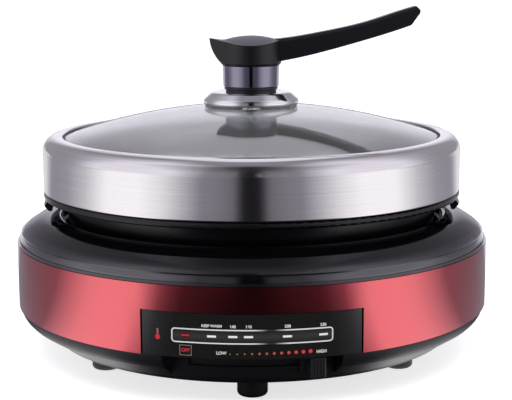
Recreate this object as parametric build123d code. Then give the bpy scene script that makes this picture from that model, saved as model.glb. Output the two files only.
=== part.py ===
from build123d import *

import os
from math import atan, cos, hypot, pi, radians, sin, sqrt, tan

# Electric hot pot: a round heated base with a sliding temperature control, a deep
# non-stick pan that stands in the base, and a steel-rimmed glass lid with a lever handle.
#
# Millimetres and degrees. Z is up, the floor is z = 0, and Z runs up the middle of the
# pot. The controls face -Y. Angles round Z count from the front, positive towards +X.

# ---------------------------------------------------------------- driving dimensions
# Clearances
PART_GAP = 0.3          # between pieces of different bodies
SNUG = 0.1              # between pieces fixed to each other
RUNNING = 0.05          # radial, a shaft in its hole

# Pan
PAN_FLOOR = 4.5
PAN_WALL = 3.4
PAN_MOUTH_RADIUS = 150.6   # outside, under the rim
PAN_TAPER = 7.6         # the wall leans in this far down to the foot
PAN_FOOT_ROUND = 14.0
PAN_RIM_WIDTH = 17.6
PAN_RIM_RAISE = 18.9    # its top, up from the dome's crest
PAN_RIM_THICKNESS = 5.0
GRIP_HALF_ANGLE = 13.0
GRIP_STAND_OUT = 0.2    # its outer edge, past the pan's rim
GRIP_EDGE = 5.6         # depth of that edge under the rim
GRIP_HEIGHT = 9.8
GRIP_RECESS = 4.8       # depth of the finger hold's ceiling under the rim
GRIP_GAP = 2.4          # from the pan's wall
GRIP_SCREW_INSET = 3.5  # the screws' circle, out from the grip's inner face
GRIP_SCREW_ANGLE = 7.0
GRIP_SCREW = (1.5, 2.9, 2.0)

# Base casing
WELL_CLEARANCE = 4.0    # round the pan
BASE_WIDTH = 35.8       # from the well's mouth to the outside of the red steel band
BAND_SHEET = 0.8
BAND_BOTTOM = 43.8
BAND_TOP = 94.3
SIDE_WALL = 2.5         # moulded wall behind the band
TRIM_OVERHANG = 0.8     # the trim strip stands out over the band's top edge
TRIM_HEIGHT = 2.2
TRIM_LEAN = 1.2         # the strip leans in this far over its height
TRIM_LEDGE = 1.8        # the dome stands this far below the strip's top
CASING_WALL = 2.5       # lower housing
RIM_HEIGHT = 6.5        # the lower housing's rim stands up inside the side wall
LIP_HEIGHT = 2.5        # chamfer where the sloping underside starts
BOWL_SLOPE_WIDTH = 18.5
BOWL_CREASE_INSET = 6.9 # in from the band
BOWL_CREASE_DROP = 10.4 # down from the bowl's top edge
BOWL_ROUND = 10.0
TRIM_TOP_WIDTH = 0.4
SEAM = 0.5              # groove between the trim strip and the dome
DOME_WALL = 2.2
DOME_STEP = 7.5         # upright edge at the foot of the dome
DOME_FOOT_ROUND = 11.0
DOME_RUN = 21.4         # width of the dome's slope
DOME_SLOPE = 31.5
DOME_BEND = 30.0
WELL_LIP_ROUND = 2.5
WELL_LIP = 8.2

# Feet
FOOT_COUNT = 6
FOOT_INSET = 33.0       # in from the start of the sloping underside
FOOT_RADIUS = 11.3
FOOT_HEIGHT = 18.5
FOOT_ROUND = 3.0
FOOT_WEB = 8.0          # height of the web that the screw head bears on
FOOT_BOSS = (5.0, 11.5) # radius and height of the boss above each foot
VENT_COUNT = 18
VENT_CIRCLE = 74.0
VENT_SIZE = (3.0, 34.0)

# Screws: shank radius, head radius, head height
CASE_SCREW = (1.5, 3.6, 2.4)
CASE_SCREW_COLUMNS = (-155.0, -110.0, -70.0, 70.0, 110.0, 155.0)
COLUMN_INSET = 19.4     # in from the band
COLUMN_RADIUS = 4.8
COLUMN_JOINT = 46.5     # height where lower and upper columns meet
SCREW_BITE = 15.0

# Temperature slider
SLIDER_REST = 14.1      # angle of the lever at HIGH
SLIDER_TRAVEL = 28.2    # from HIGH back to OFF
POCKET_HALF_ANGLE = 19.5
POCKET_GAP = 0.4        # from the band's lower edge to the pocket's ceiling
POCKET_CEILING = 1.8
POCKET_END_ANGLE = 0.9  # angle that the pocket's end walls take up
POCKET_DEPTH = 18.9     # from the band to the wall that the lever runs along
GUIDE_WALL = 2.5
GUIDE_HALF_ANGLE = 48.0
SLOT_DROP = 4.9         # its upper edge, down from the pocket's top
SLOT_HEIGHT = 5.5
LEVER_WIDTH = 11.0
LEVER_INSET = 2.4       # its front, in from the band
LEVER_HEIGHT = 15.0
LEVER_DROP = 0.4        # its top, down from the pocket's top
LEVER_SHOE = 1.6
LEVER_SHOE_HALF_ANGLE = 3.1
LEVER_SHOE_RIB = 1.2    # angle that the rib on the shoe's left edge takes up
LEVER_NECK = 5.6        # width of the neck where it goes through the slot
STRIP_THICKNESS = 1.7   # dust strip behind the slot
STRIP_OVERLAP = 2.0     # past the slot's edges, up and down
RACK_DROP = 1.0         # its underside, down from the slot's lower edge
RACK_THICKNESS = 4.0
RACK_INSET = 7.0        # its pitch line, in from the dust strip
RAIL_WIDTH = 3.0        # the rail that the rack slides on
RAIL_END = 3.0
GEAR_MODULE = 1.5
PINION_TEETH = 20
PINION_ANGLE = -30.0    # where the thermostat sits
TOOTH_PLAY = 0.4        # backlash, along the pitch circle

# Control panel
PANEL_FROM = -23.6
PANEL_TO = 23.5
PANEL_RAISE = 0.4       # its lower edge, up from the band's
PANEL_HEIGHT = 31.4
PANEL_GAP = 0.4         # to the band, above and at the sides
PANEL_THICKNESS = 1.3
PANEL_RECESS = 0.3      # below the band's surface
LAMP_ANGLE = -20.9
LAMP_RAISE = 16.8       # up from the panel's lower edge
LAMP_RADIUS = 2.4

# Appliance inlet at the back
INLET_RAISE = 20.2      # its middle, up from the band's lower edge
INLET_FLANGE = (50.0, 2.0, 24.0)
INLET_INSET = 2.2       # outer face of the flange, in from the band
INLET_MOUTH = (24.4, 17.0)
INLET_DEPTH = 17.0
INLET_WALL = 1.8
INLET_BACK = 3.0
INLET_SCREW_X = 20.0
INLET_SCREW = (1.2, 3.0, 1.6)
INLET_BOSS = (3.4, 9.0)
INLET_FRAME_DEPTH = 2.8 # behind the flange's seat
INLET_FRAME_LAP = 3.0   # the frame laps this far over the inside of the side wall
INLET_FRAME_MARGIN = 3.2
INLET_PIN = (2.0, 4.0)
INLET_PIN_LENGTH = 13.0
PIN_TAIL = 5.0
INLET_PINS = ((-7.0, -1.6), (7.0, -1.6), (0.0, 2.9))

# Heater
LINER_SHEET = 0.8
LINER_INSET = 1.2       # its wall, in from the well's mouth
LINER_BOTTOM = 46.0
LINER_FLANGE = 5.0      # width
LINER_ROUND = 10.0
LINER_HOLE = 6.0        # in its middle, for the sensor's guide
POST_CIRCLE = 118.0
POST_ANGLES = (30.0, 150.0, -90.0)
POST_RADIUS = 4.2
POST_STEP_RADIUS = 6.5
SHIELD_HEIGHT = 38.0
SHIELD_MARGIN = 8.0     # past the posts' circle
SHIELD_HOLE = 12.0
HEATER_RADIUS = 98.0
HEATER_GAP = 3.2        # over the liner
HEATER_THICKNESS = 10.0
PAN_SEAT_GAP = 0.3
HEATER_HOLE = 16.0
ELEMENT_CIRCLE = 75.0
ELEMENT_RADIUS = 3.5
ELEMENT_RAISE = 2.2     # its middle, up from the heater's underside
ELEMENT_GAP_ANGLE = 9.0
ELEMENT_PIN_RADIUS = 1.5
ELEMENT_PIN_DROP = 5.0  # its tip, down from the shield
SPACER_CIRCLE = 55.0
SPACER_ANGLES = (60.0, 180.0, -60.0)
SPACER_RADIUS = 5.0
HEATER_SCREW = (1.9, 3.6, 2.4)

# Pan sensor
SENSOR_TRAVEL = 2.0
CAP_RADIUS = 13.5
CAP_THICKNESS = 2.2
CAP_SKIRT = 1.5
GUIDE_TUBE = (8.5, 10.5)
GUIDE_HEIGHT = 7.7
GUIDE_BASE = 1.0
BULB_RADIUS = 3.0
BULB_LENGTH = 17.8
SPRING_RADIUS = 6.6
SPRING_WIRE = 0.5
SPRING_TURNS = 6

# Thermostat
THERMOSTAT_SIZE = 30.0
THERMOSTAT_DROP = 0.5   # its top, down from the rack's underside
TAB_RAISE = 3.0         # its fixing tabs, up from the floor
TAB_SCREW_X = 19.0      # its fixing screws, either side of the spindle
TAB_PAD_RADIUS = 4.0
TAB_SCREW = (1.2, 2.6, 1.6)
SPINDLE_RADIUS = 3.0
SPINDLE_REACH = 2.0     # past the rack's upper side
CAPILLARY_RADIUS = 1.0
WIRE_RADIUS = 1.2
LEAD_RAISE = 5.5        # the leads run round the floor at about this height over it
FUSE_RADIUS = 2.6
FUSE_LENGTH = 12.0
FUSE_Y = 100.0

# Lid
RING_SHEET = 0.8
RING_INSET = 0.1        # in from the pan's rim
RING_HEIGHT = 43.3
RING_SHOULDER = 12.0
RING_TOP_WIDTH = 16.2
RING_LIP_DEPTH = 8.3
RING_LEDGE = 5.1
SPIGOT_DEPTH = 3.8
SPIGOT_GAP = 0.7
GLASS_SAG = 24.9        # from its apex down to its edge
GLASS_RISE = 22.6       # its apex, up from the ring's top
GLASS_THICKNESS = 4.0
GLASS_INSET = 0.9       # its edge, in from the ring's lip
SEAL_LAP = 0.8          # the seal's lip over the glass
GLASS_HOLE = 6.0

# Lid handle
PLATE_RADIUS = 39.3
PLATE_SHEET = 1.0
PLATE_RISE = 9.5        # its top, up from the glass's apex
SPACER_HEIGHT = 5.0
STEM_RADIUS = 22.4
STEM_FLARE = 0.3
STEM_HEIGHT = 16.7
STEM_WALL = 3.0
HUB_RADIUS = 22.6       # at its foot
HUB_FULL_RADIUS = 24.5
HUB_HEIGHT = 20.7       # from the stem to the top of the hub, on the middle line
HUB_CROWN = 75.0        # radius across the top of the hub
BEAK_REACH = 33.3
BEAK_LIFT = 1.2
BEAK_TIP = 3.0          # radius of the beak's tip in plan
ARM_REACH = 134.8
ARM_RISE = 46.6         # its tip, up from the hub's foot
ARM_HALF_WIDTH = 9.0
ARM_EDGE = 1.0          # broken lower edges
ARM_TOP_EDGE = 2.2
KNOB_CAP_RADIUS = 21.0
KNOB_CAP_RISE = 3.1
KNOB_CAP_SEAT = 5.9
KNOB_SCREW = (2.4, 5.0, 3.5)


# ---------------------------------------------------------------- shared shapes
def turned(points, radii=0):
    """A solid of revolution from its (radius, height) corners, rounded by radii."""
    outline = FilletPolyline(*points, radius=radii, close=True)
    return revolve(Plane.XZ * make_face(outline), Axis.Z)


def sheet_outline(points, radii, thickness):
    """The section of a bent sheet: points run along one face, thickness lies to their left."""
    normals = []
    for (x0, z0), (x1, z1) in zip(points, points[1:]):
        length = hypot(x1 - x0, z1 - z0)
        normals.append(((z0 - z1) / length, (x1 - x0) / length))
    other_face = []
    for index, (x, z) in enumerate(points):
        before = normals[max(index - 1, 0)]
        after = normals[min(index, len(normals) - 1)]
        share = thickness / (1 + before[0] * after[0] + before[1] * after[1])
        other_face.append((x + share * (before[0] + after[0]), z + share * (before[1] + after[1])))
    other_radii = []
    for (x0, z0), (x1, z1), (x2, z2), radius in zip(points, points[1:], points[2:], radii):
        left_turn = (x1 - x0) * (z2 - z1) > (z1 - z0) * (x2 - x1)
        other_radii.append(max(radius - thickness, 0) if left_turn else radius + thickness)
    near = FilletPolyline(*points, radius=radii)
    far = FilletPolyline(*other_face, radius=other_radii)
    ends = [Line(points[0], other_face[0]).edge(), Line(points[-1], other_face[-1]).edge()]
    return make_face(near.edges() + far.edges() + ends)


def turned_sheet(points, radii, thickness):
    return revolve(Plane.XZ * sheet_outline(points, radii, thickness), Axis.Z)


def tube(outer, inner, low, high):
    """A round tube on Z, or a disc where inner is 0."""
    face = Circle(outer) - Circle(inner) if inner else Circle(outer)
    return Pos(0, 0, low) * extrude(face, high - low)


def arc_bar(inner, outer, low, high, start, end):
    """A bar bent round Z between two angles from the front."""
    section = Pos((inner + outer) / 2, (low + high) / 2) * Rectangle(outer - inner, high - low)
    bar = revolve(Plane.XZ * section, Axis.Z, revolution_arc=end - start)
    return Rot(0, 0, start - 90) * bar


def at(radius, angle, height=0.0):
    """The place at a radius and angle from the front, turned to face outwards (local -Y)."""
    return Rot(0, 0, angle) * Pos(0, -radius, height)


def block(size, low_corner):
    """A box from its size and its lowest corner."""
    return Pos(*low_corner) * Box(*size, align=(Align.MIN, Align.MIN, Align.MIN))


def screw(sizes, seat, tip, head_down=True):
    """A pan-head screw on Z: its head lies against the seat height, and tip is its far end."""
    shank, head, height = sizes
    away = -1 if head_down else 1
    low, high = sorted((seat, seat + away * height))
    bottom, top = sorted((seat, tip))
    head_solid = tube(head, 0, low, high)
    rim = head_solid.edges().filter_by(GeomType.CIRCLE).sort_by(Axis.Z)
    head_solid = fillet(rim[0] if head_down else rim[-1], height * 0.35)
    slot = Pos(0, 0, seat + away * height) * Box(head * 1.5, height * 0.3, height * 0.7)
    return head_solid + tube(shank, 0, bottom, top) - slot


def route_radii(points, share=0.45):
    """The largest tangent arcs that a route of straight runs has room for."""
    radii = []
    for a, b, c in zip(points, points[1:], points[2:]):
        run_in, run_out = Vector(*b) - Vector(*a), Vector(*c) - Vector(*b)
        half_turn = radians(run_in.get_angle(run_out) / 2)
        radii.append(share * min(run_in.length, run_out.length) / tan(half_turn))
    return radii


def wire_along(points, radius):
    """A round wire along straight runs joined by tangent arcs."""
    path = FilletPolyline(*points, radius=route_radii(points))
    start = Plane(origin=points[0], z_dir=Vector(*points[1]) - Vector(*points[0]))
    return sweep(start * Circle(radius), path=path)


def group(solids):
    """Separate solids of one node."""
    return Compound(children=[part for solid in solids for part in solid.solids()])


# ---------------------------------------------------------------- derived places
pan_rim_radius = PAN_MOUTH_RADIUS + PAN_RIM_WIDTH
pan_foot_radius = PAN_MOUTH_RADIUS - PAN_TAPER
grip_radius = pan_rim_radius + GRIP_STAND_OUT
grip_start = PAN_MOUTH_RADIUS + GRIP_GAP
grip_screw_circle = grip_start + GRIP_SCREW_INSET
well_radius = PAN_MOUTH_RADIUS + WELL_CLEARANCE
band_radius = well_radius + BASE_WIDTH
pocket_top = BAND_BOTTOM - POCKET_GAP
bowl_crease_radius = band_radius - BOWL_CREASE_INSET
bowl_crease_height = pocket_top - BOWL_CREASE_DROP
lip_radius = bowl_crease_radius - BOWL_SLOPE_WIDTH
foot_circle = lip_radius - FOOT_INSET
column_circle = band_radius - COLUMN_INSET
guide_radius = band_radius - POCKET_DEPTH
slot_top = pocket_top - SLOT_DROP
slot_bottom = slot_top - SLOT_HEIGHT
strip_top = slot_top + STRIP_OVERLAP
strip_bottom = slot_bottom - STRIP_OVERLAP
rack_bottom = slot_bottom - RACK_DROP
lever_front = band_radius - LEVER_INSET
lever_top = pocket_top - LEVER_DROP
lever_bottom = lever_top - LEVER_HEIGHT
panel_bottom = BAND_BOTTOM + PANEL_RAISE
panel_top = panel_bottom + PANEL_HEIGHT
lamp_height = panel_bottom + LAMP_RAISE
inlet_height = BAND_BOTTOM + INLET_RAISE
inlet_face = band_radius - INLET_INSET
inlet_frame_width = INLET_FLANGE[0] + 2 * INLET_FRAME_LAP
liner_radius = well_radius - LINER_INSET
shield_radius = POST_CIRCLE + SHIELD_MARGIN
heater_bottom = LINER_BOTTOM + LINER_SHEET + HEATER_GAP
heater_top = heater_bottom + HEATER_THICKNESS
pan_bottom = heater_top + PAN_SEAT_GAP
element_height = heater_bottom + ELEMENT_RAISE
element_pin_end = SHIELD_HEIGHT - ELEMENT_PIN_DROP
side_outer = band_radius - BAND_SHEET - SNUG
side_inner = side_outer - SIDE_WALL
trim_bottom = BAND_TOP + SNUG
trim_top = trim_bottom + TRIM_HEIGHT
trim_radius = side_outer + TRIM_OVERHANG
trim_top_radius = trim_radius - TRIM_LEAN
ceiling_top = pocket_top + POCKET_CEILING
dome_ledge = trim_top - TRIM_LEDGE          # the dome's edge stands on this height
dome_radius = trim_top_radius - TRIM_TOP_WIDTH - SEAM
crest_height = dome_ledge + DOME_STEP + DOME_RUN * tan(radians(DOME_SLOPE))
ledge_inner = dome_radius - 1.1
floor_top = FOOT_HEIGHT + CASING_WALL
bowl_radius = side_outer - 0.8
guide_inner = guide_radius - GUIDE_WALL
panel_face = band_radius - PANEL_RECESS
panel_back = panel_face - PANEL_THICKNESS
slot_half_angle = SLIDER_TRAVEL / 2 + 1.1
strip_outer = guide_inner - PART_GAP
strip_inner = strip_outer - STRIP_THICKNESS
rack_pitch_radius = strip_inner - RACK_INSET
thermostat_top = rack_bottom - THERMOSTAT_DROP
thermostat_tab = floor_top + TAB_RAISE
spindle_top = rack_bottom + RACK_THICKNESS + SPINDLE_REACH
capillary_height = (floor_top + thermostat_top) / 2 + 0.25
lead_height = floor_top + LEAD_RAISE
pinion_pitch_radius = GEAR_MODULE * PINION_TEETH / 2
pinion_circle = rack_pitch_radius - pinion_pitch_radius
rack_root = rack_pitch_radius + 1.25 * GEAR_MODULE
rack_tip = rack_pitch_radius - 0.9 * GEAR_MODULE
liner_floor = LINER_BOTTOM + LINER_SHEET
liner_flange_radius = liner_radius + LINER_FLANGE
cap_top = heater_top
cap_under = cap_top - CAP_THICKNESS
inlet_frame_top = inlet_height + INLET_FLANGE[2] / 2 + INLET_FRAME_MARGIN
bulb_bottom = cap_under - BULB_LENGTH
guide_neck_end = LINER_BOTTOM - 1.4
guide_base_top = liner_floor + GUIDE_BASE
guide_top = liner_floor + GUIDE_HEIGHT
terminal_x = ELEMENT_CIRCLE * sin(radians(ELEMENT_GAP_ANGLE))
terminal_y = ELEMENT_CIRCLE * cos(radians(ELEMENT_GAP_ANGLE))
pan_rim_top = crest_height + PAN_RIM_RAISE
rim_under = pan_rim_top - PAN_RIM_THICKNESS
ring_bottom = pan_rim_top + PART_GAP
ring_radius = pan_rim_radius - RING_INSET
ring_top = ring_bottom + RING_HEIGHT
ring_lip_radius = ring_radius - RING_TOP_WIDTH
glass_apex = ring_top + GLASS_RISE
glass_radius = ring_lip_radius - GLASS_INSET
plate_top = glass_apex + PLATE_RISE
spigot_radius = PAN_MOUTH_RADIUS - PAN_WALL - SPIGOT_GAP
glass_curve = (glass_radius**2 + GLASS_SAG**2) / (2 * GLASS_SAG)
glass_under = glass_apex - GLASS_THICKNESS
stem_bottom = plate_top + SPACER_HEIGHT
hub_bottom = stem_bottom + STEM_HEIGHT
hub_top = hub_bottom + HUB_HEIGHT
cap_seat = hub_top - KNOB_CAP_SEAT


# ---------------------------------------------------------------- base casing
def bowl_path():
    """Outer face of the lower housing, from the middle of its floor to its top edge."""
    crease = (bowl_crease_radius, bowl_crease_height)
    rounded = bowl_radius - bowl_crease_radius
    return [
        (0, FOOT_HEIGHT),
        (lip_radius - LIP_HEIGHT, FOOT_HEIGHT),
        (lip_radius, FOOT_HEIGHT + LIP_HEIGHT),
        crease,
        (bowl_radius, bowl_crease_height + rounded),
        (bowl_radius, pocket_top),
    ]


def bowl_blank():
    """Everything inside the lower housing's outer face."""
    top = pocket_top + RIM_HEIGHT
    points = bowl_path() + [(bowl_radius, top), (0, top)]
    return turned(points, [0, 0, 0, 0, BOWL_ROUND, 0, 0, 0])


def thermostat_place(height=0.0):
    return at(pinion_circle, PINION_ANGLE, height)


def lower_housing():
    """The black moulded bottom shell: floor, bowl, slider pocket, posts and columns."""
    shell = turned_sheet(bowl_path(), [0, 0, 0, BOWL_ROUND], CASING_WALL)
    rim_outer = side_inner - 2 * SNUG
    rim = tube(rim_outer, rim_outer - CASING_WALL, pocket_top - 3, pocket_top + RIM_HEIGHT)
    pocket = arc_bar(
        guide_radius, band_radius, 0, pocket_top, -POCKET_HALF_ANGLE, POCKET_HALF_ANGLE
    )
    housing = shell + rim - pocket

    blank = bowl_blank()
    outside = POCKET_HALF_ANGLE + POCKET_END_ANGLE
    inner_parts = [
        arc_bar(guide_inner, bowl_radius, pocket_top, ceiling_top, -outside, outside),
        arc_bar(
            guide_inner, guide_radius, FOOT_HEIGHT, ceiling_top, -GUIDE_HALF_ANGLE, GUIDE_HALF_ANGLE
        ),
        arc_bar(guide_inner, bowl_radius, FOOT_HEIGHT, ceiling_top, -outside, -POCKET_HALF_ANGLE),
        arc_bar(guide_inner, bowl_radius, FOOT_HEIGHT, ceiling_top, POCKET_HALF_ANGLE, outside),
    ]
    # Rail under the rack, and a lip over the strip, keep the carriage level.
    rack_under = rack_bottom - PART_GAP
    rail_outer = strip_inner - 0.5
    rail_start = PINION_ANGLE - SLIDER_TRAVEL - 4.0
    inner_parts.append(
        arc_bar(rail_outer - RAIL_WIDTH, rail_outer, floor_top - 1, rack_under, rail_start, RAIL_END)
    )
    lip_bottom = strip_top + PART_GAP
    lip_end = POCKET_HALF_ANGLE - 0.5
    inner_parts.append(
        arc_bar(strip_inner - 1, guide_inner + 1, lip_bottom, lip_bottom + 2, -lip_end, lip_end)
    )

    shank = CASE_SCREW[0]
    for index in range(FOOT_COUNT):
        angle = index * 360 / FOOT_COUNT
        boss = tube(FOOT_BOSS[0], 0, FOOT_HEIGHT, FOOT_HEIGHT + FOOT_BOSS[1])
        inner_parts.append(at(foot_circle, angle) * boss)
    for angle in POST_ANGLES:
        place = at(POST_CIRCLE, angle)
        inner_parts.append(place * tube(POST_STEP_RADIUS, 0, FOOT_HEIGHT, SHIELD_HEIGHT))
        inner_parts.append(place * tube(POST_RADIUS, 0, FOOT_HEIGHT, LINER_BOTTOM))
    for angle in CASE_SCREW_COLUMNS:
        inner_parts.append(
            at(column_circle, angle) * tube(COLUMN_RADIUS, 0, FOOT_HEIGHT, COLUMN_JOINT)
        )
    for side in (-1, 1):
        pad = tube(TAB_PAD_RADIUS, 0, floor_top - 1, thermostat_tab)
        inner_parts.append(thermostat_place() * Pos(side * TAB_SCREW_X, 0, 0) * pad)
    for part in inner_parts:
        housing += part & blank

    cuts = [
        arc_bar(guide_inner - 5, guide_radius + 5, slot_bottom, slot_top, -slot_half_angle, slot_half_angle)
    ]
    for index in range(FOOT_COUNT):
        angle = index * 360 / FOOT_COUNT
        cuts.append(at(foot_circle, angle) * tube(shank + SNUG, 0, 0, FOOT_HEIGHT + FOOT_BOSS[1] - 1))
    for angle in POST_ANGLES:
        cuts.append(at(POST_CIRCLE, angle) * tube(shank + SNUG, 0, LINER_BOTTOM - 12.5, LINER_BOTTOM + 1))
    for angle in CASE_SCREW_COLUMNS:
        column = at(column_circle, angle)
        cuts.append(column * tube(CASE_SCREW[1] + 0.4, 0, 0, COLUMN_JOINT - 10))
        cuts.append(column * tube(shank + 0.5, 0, 0, COLUMN_JOINT + 1))
    for side in (-1, 1):
        hole = tube(TAB_SCREW[0] + SNUG, 0, floor_top - 0.5, thermostat_tab + 1)
        cuts.append(thermostat_place() * Pos(side * TAB_SCREW_X, 0, 0) * hole)
    vent = Box(*VENT_SIZE, 3 * CASING_WALL)
    for index in range(VENT_COUNT):
        cuts.append(at(VENT_CIRCLE, (index + 0.5) * 360 / VENT_COUNT, FOOT_HEIGHT) * vent)
    for cut in cuts:
        housing -= cut
    return housing


def feet():
    """Moulded feet, each round-edged and recessed for its screw."""
    one = turned(
        [
            (CASE_SCREW[0] + SNUG, FOOT_WEB),
            (CASE_SCREW[1] + 1.0, FOOT_WEB),
            (CASE_SCREW[1] + 1.0, 0),
            (FOOT_RADIUS, 0),
            (FOOT_RADIUS, FOOT_HEIGHT),
            (CASE_SCREW[0] + SNUG, FOOT_HEIGHT),
        ],
        [0, 0, 0.6, FOOT_ROUND, 0, 0],
    )
    return group(at(foot_circle, index * 360 / FOOT_COUNT) * one for index in range(FOOT_COUNT))


def foot_screws():
    one = screw(CASE_SCREW, FOOT_WEB, FOOT_HEIGHT + 9.5)
    return group(at(foot_circle, index * 360 / FOOT_COUNT) * one for index in range(FOOT_COUNT))


def side_wall():
    """The moulded ring behind the red band, with the black trim strip along its top."""
    ring = turned(
        [
            (side_inner, pocket_top),
            (side_outer, pocket_top),
            (side_outer, trim_bottom),
            (trim_radius, trim_bottom),
            (trim_top_radius, trim_top),
            (dome_radius + SEAM, trim_top),
            (dome_radius + SEAM, dome_ledge),
            (ledge_inner, dome_ledge),
            (ledge_inner, dome_ledge - 8.0),
            (side_inner, dome_ledge - 12.0),
        ],
        [0, 0, 0, 0.4, 0.3, 0, 0, 0, 0, 0],
    )
    panel_seat = arc_bar(
        panel_back - SNUG, band_radius, 0, panel_top + PANEL_GAP,
        PANEL_FROM - PANEL_GAP, PANEL_TO + PANEL_GAP,
    )
    ceiling_notch = arc_bar(
        side_inner - 5, band_radius, 0, ceiling_top + SNUG, -POCKET_HALF_ANGLE - 1.1,
        POCKET_HALF_ANGLE + 1.1,
    )
    lamp_hole = at(side_inner, LAMP_ANGLE, lamp_height) * Rot(90, 0, 0) * Cylinder(LAMP_RADIUS + SNUG, 20)
    wall = ring - panel_seat - ceiling_notch - lamp_hole

    half, top = inlet_frame_width / 2 + SNUG, inlet_frame_top + SNUG
    return wall - block((2 * half, band_radius, top), (-half, 0, 0))


def inlet_frame():
    """The moulded frame that fills the side wall's notch at the back and holds the inlet."""
    half = inlet_frame_width / 2
    seat = inlet_face - INLET_FLANGE[1]
    back = seat - INLET_FRAME_DEPTH
    above_rim = pocket_top + RIM_HEIGHT + PART_GAP
    plug = block((2 * half, band_radius, inlet_frame_top - pocket_top), (-half, back, pocket_top))
    plug = (plug & tube(side_outer, 0, 0, trim_top)) - tube(side_inner, 0, 0, above_rim)
    margin = INLET_FRAME_LAP
    flange = block(
        (2 * (half + margin), band_radius, inlet_frame_top + margin - above_rim),
        (-half - margin, back, above_rim),
    )
    frame = plug + (flange & tube(side_inner - SNUG, 0, 0, trim_top))
    for side in (-1, 1):
        screw_place = Pos(side * INLET_SCREW_X, seat, inlet_height) * Rot(90, 0, 0)
        frame += screw_place * Pos(0, 0, INLET_BOSS[1] / 2) * Cylinder(*INLET_BOSS)
        frame -= screw_place * Cylinder(INLET_SCREW[0] + SNUG, 2 * INLET_BOSS[1])
    recess = (INLET_FLANGE[0] + 2 * PART_GAP, 20, INLET_FLANGE[2] + 2 * PART_GAP)
    frame -= block(recess, (-recess[0] / 2, seat, inlet_height - recess[2] / 2))
    hole = inlet_body_size(0.2)
    return frame - block((hole[0], 60, hole[1]), (-hole[0] / 2, seat - 30, inlet_height - hole[1] / 2))


def red_band():
    """Painted steel band wrapped round the side wall, cut out for the panel and the inlet."""
    band = tube(band_radius, band_radius - BAND_SHEET, BAND_BOTTOM, BAND_TOP)
    window = arc_bar(
        side_inner, band_radius + 5, 0, panel_top + PANEL_GAP, PANEL_FROM - PANEL_GAP, PANEL_TO + PANEL_GAP
    )
    width = INLET_FLANGE[0] + 2 * PART_GAP
    height = INLET_FLANGE[2] + 2 * PART_GAP
    back = block((width, 30, height), (-width / 2, side_inner - 10, inlet_height - height / 2))
    return band - window - back


def dome_path():
    return [
        (dome_radius, dome_ledge),
        (dome_radius, dome_ledge + DOME_STEP),
        (dome_radius - DOME_RUN, crest_height),
        (well_radius, crest_height),
        (well_radius, crest_height - WELL_LIP),
    ]


def upper_housing():
    """The glossy black dome round the well, with the columns that the case screws bite in."""
    radii = [DOME_FOOT_ROUND, DOME_BEND, WELL_LIP_ROUND]
    housing = turned_sheet(dome_path(), radii, DOME_WALL)
    skirt_outer = ledge_inner - SNUG * 2
    housing += tube(skirt_outer, skirt_outer - DOME_WALL, dome_ledge - 9, dome_ledge + DOME_STEP)
    blank = turned(dome_path()[1:-1] + [(well_radius, 0), (dome_radius, 0)], radii + [0, 0])
    for angle in CASE_SCREW_COLUMNS:
        column = at(column_circle, angle) * tube(COLUMN_RADIUS, 0, COLUMN_JOINT, crest_height)
        housing += column & blank
    for angle in CASE_SCREW_COLUMNS:
        pilot = tube(CASE_SCREW[0] + SNUG, 0, 0, COLUMN_JOINT + SCREW_BITE + 1)
        housing -= at(column_circle, angle) * pilot
    return housing


def housing_screws():
    one = screw(CASE_SCREW, COLUMN_JOINT - 10, COLUMN_JOINT + SCREW_BITE)
    return group(at(column_circle, angle) * one for angle in CASE_SCREW_COLUMNS)


# ---------------------------------------------------------------- control panel
def control_panel():
    """The curved printed window over the controls."""
    panel = arc_bar(panel_back, panel_face, panel_bottom, panel_top, PANEL_FROM, PANEL_TO)
    corners = panel.edges().filter_by(lambda edge: edge.length < PANEL_THICKNESS * 1.01)
    return fillet(corners.filter_by(GeomType.LINE), 0.8)


def indicator_lamp():
    """The heating lamp: a lens behind the panel on a small lamp body."""
    front = panel_back - SNUG
    lens = at(front, LAMP_ANGLE, lamp_height) * Rot(90, 0, 0) * Pos(0, 0, -6) * Cylinder(LAMP_RADIUS, 12)
    return lens


def lamp_holder():
    """The clip that holds the lamp against the inside of the side wall."""
    depth = 6.0
    place = at(side_inner - SNUG, LAMP_ANGLE, lamp_height)
    body = place * Pos(0, depth / 2 + 0.5, 0) * Box(9.0, depth, 9.0)
    return body - place * Rot(90, 0, 0) * Cylinder(LAMP_RADIUS + SNUG, 40)


# ---------------------------------------------------------------- appliance inlet
def inlet_body_size(extra=0.0):
    width, height = INLET_MOUTH
    return width + 2 * INLET_WALL + 2 * extra, height + 2 * INLET_WALL + 2 * extra


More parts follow.
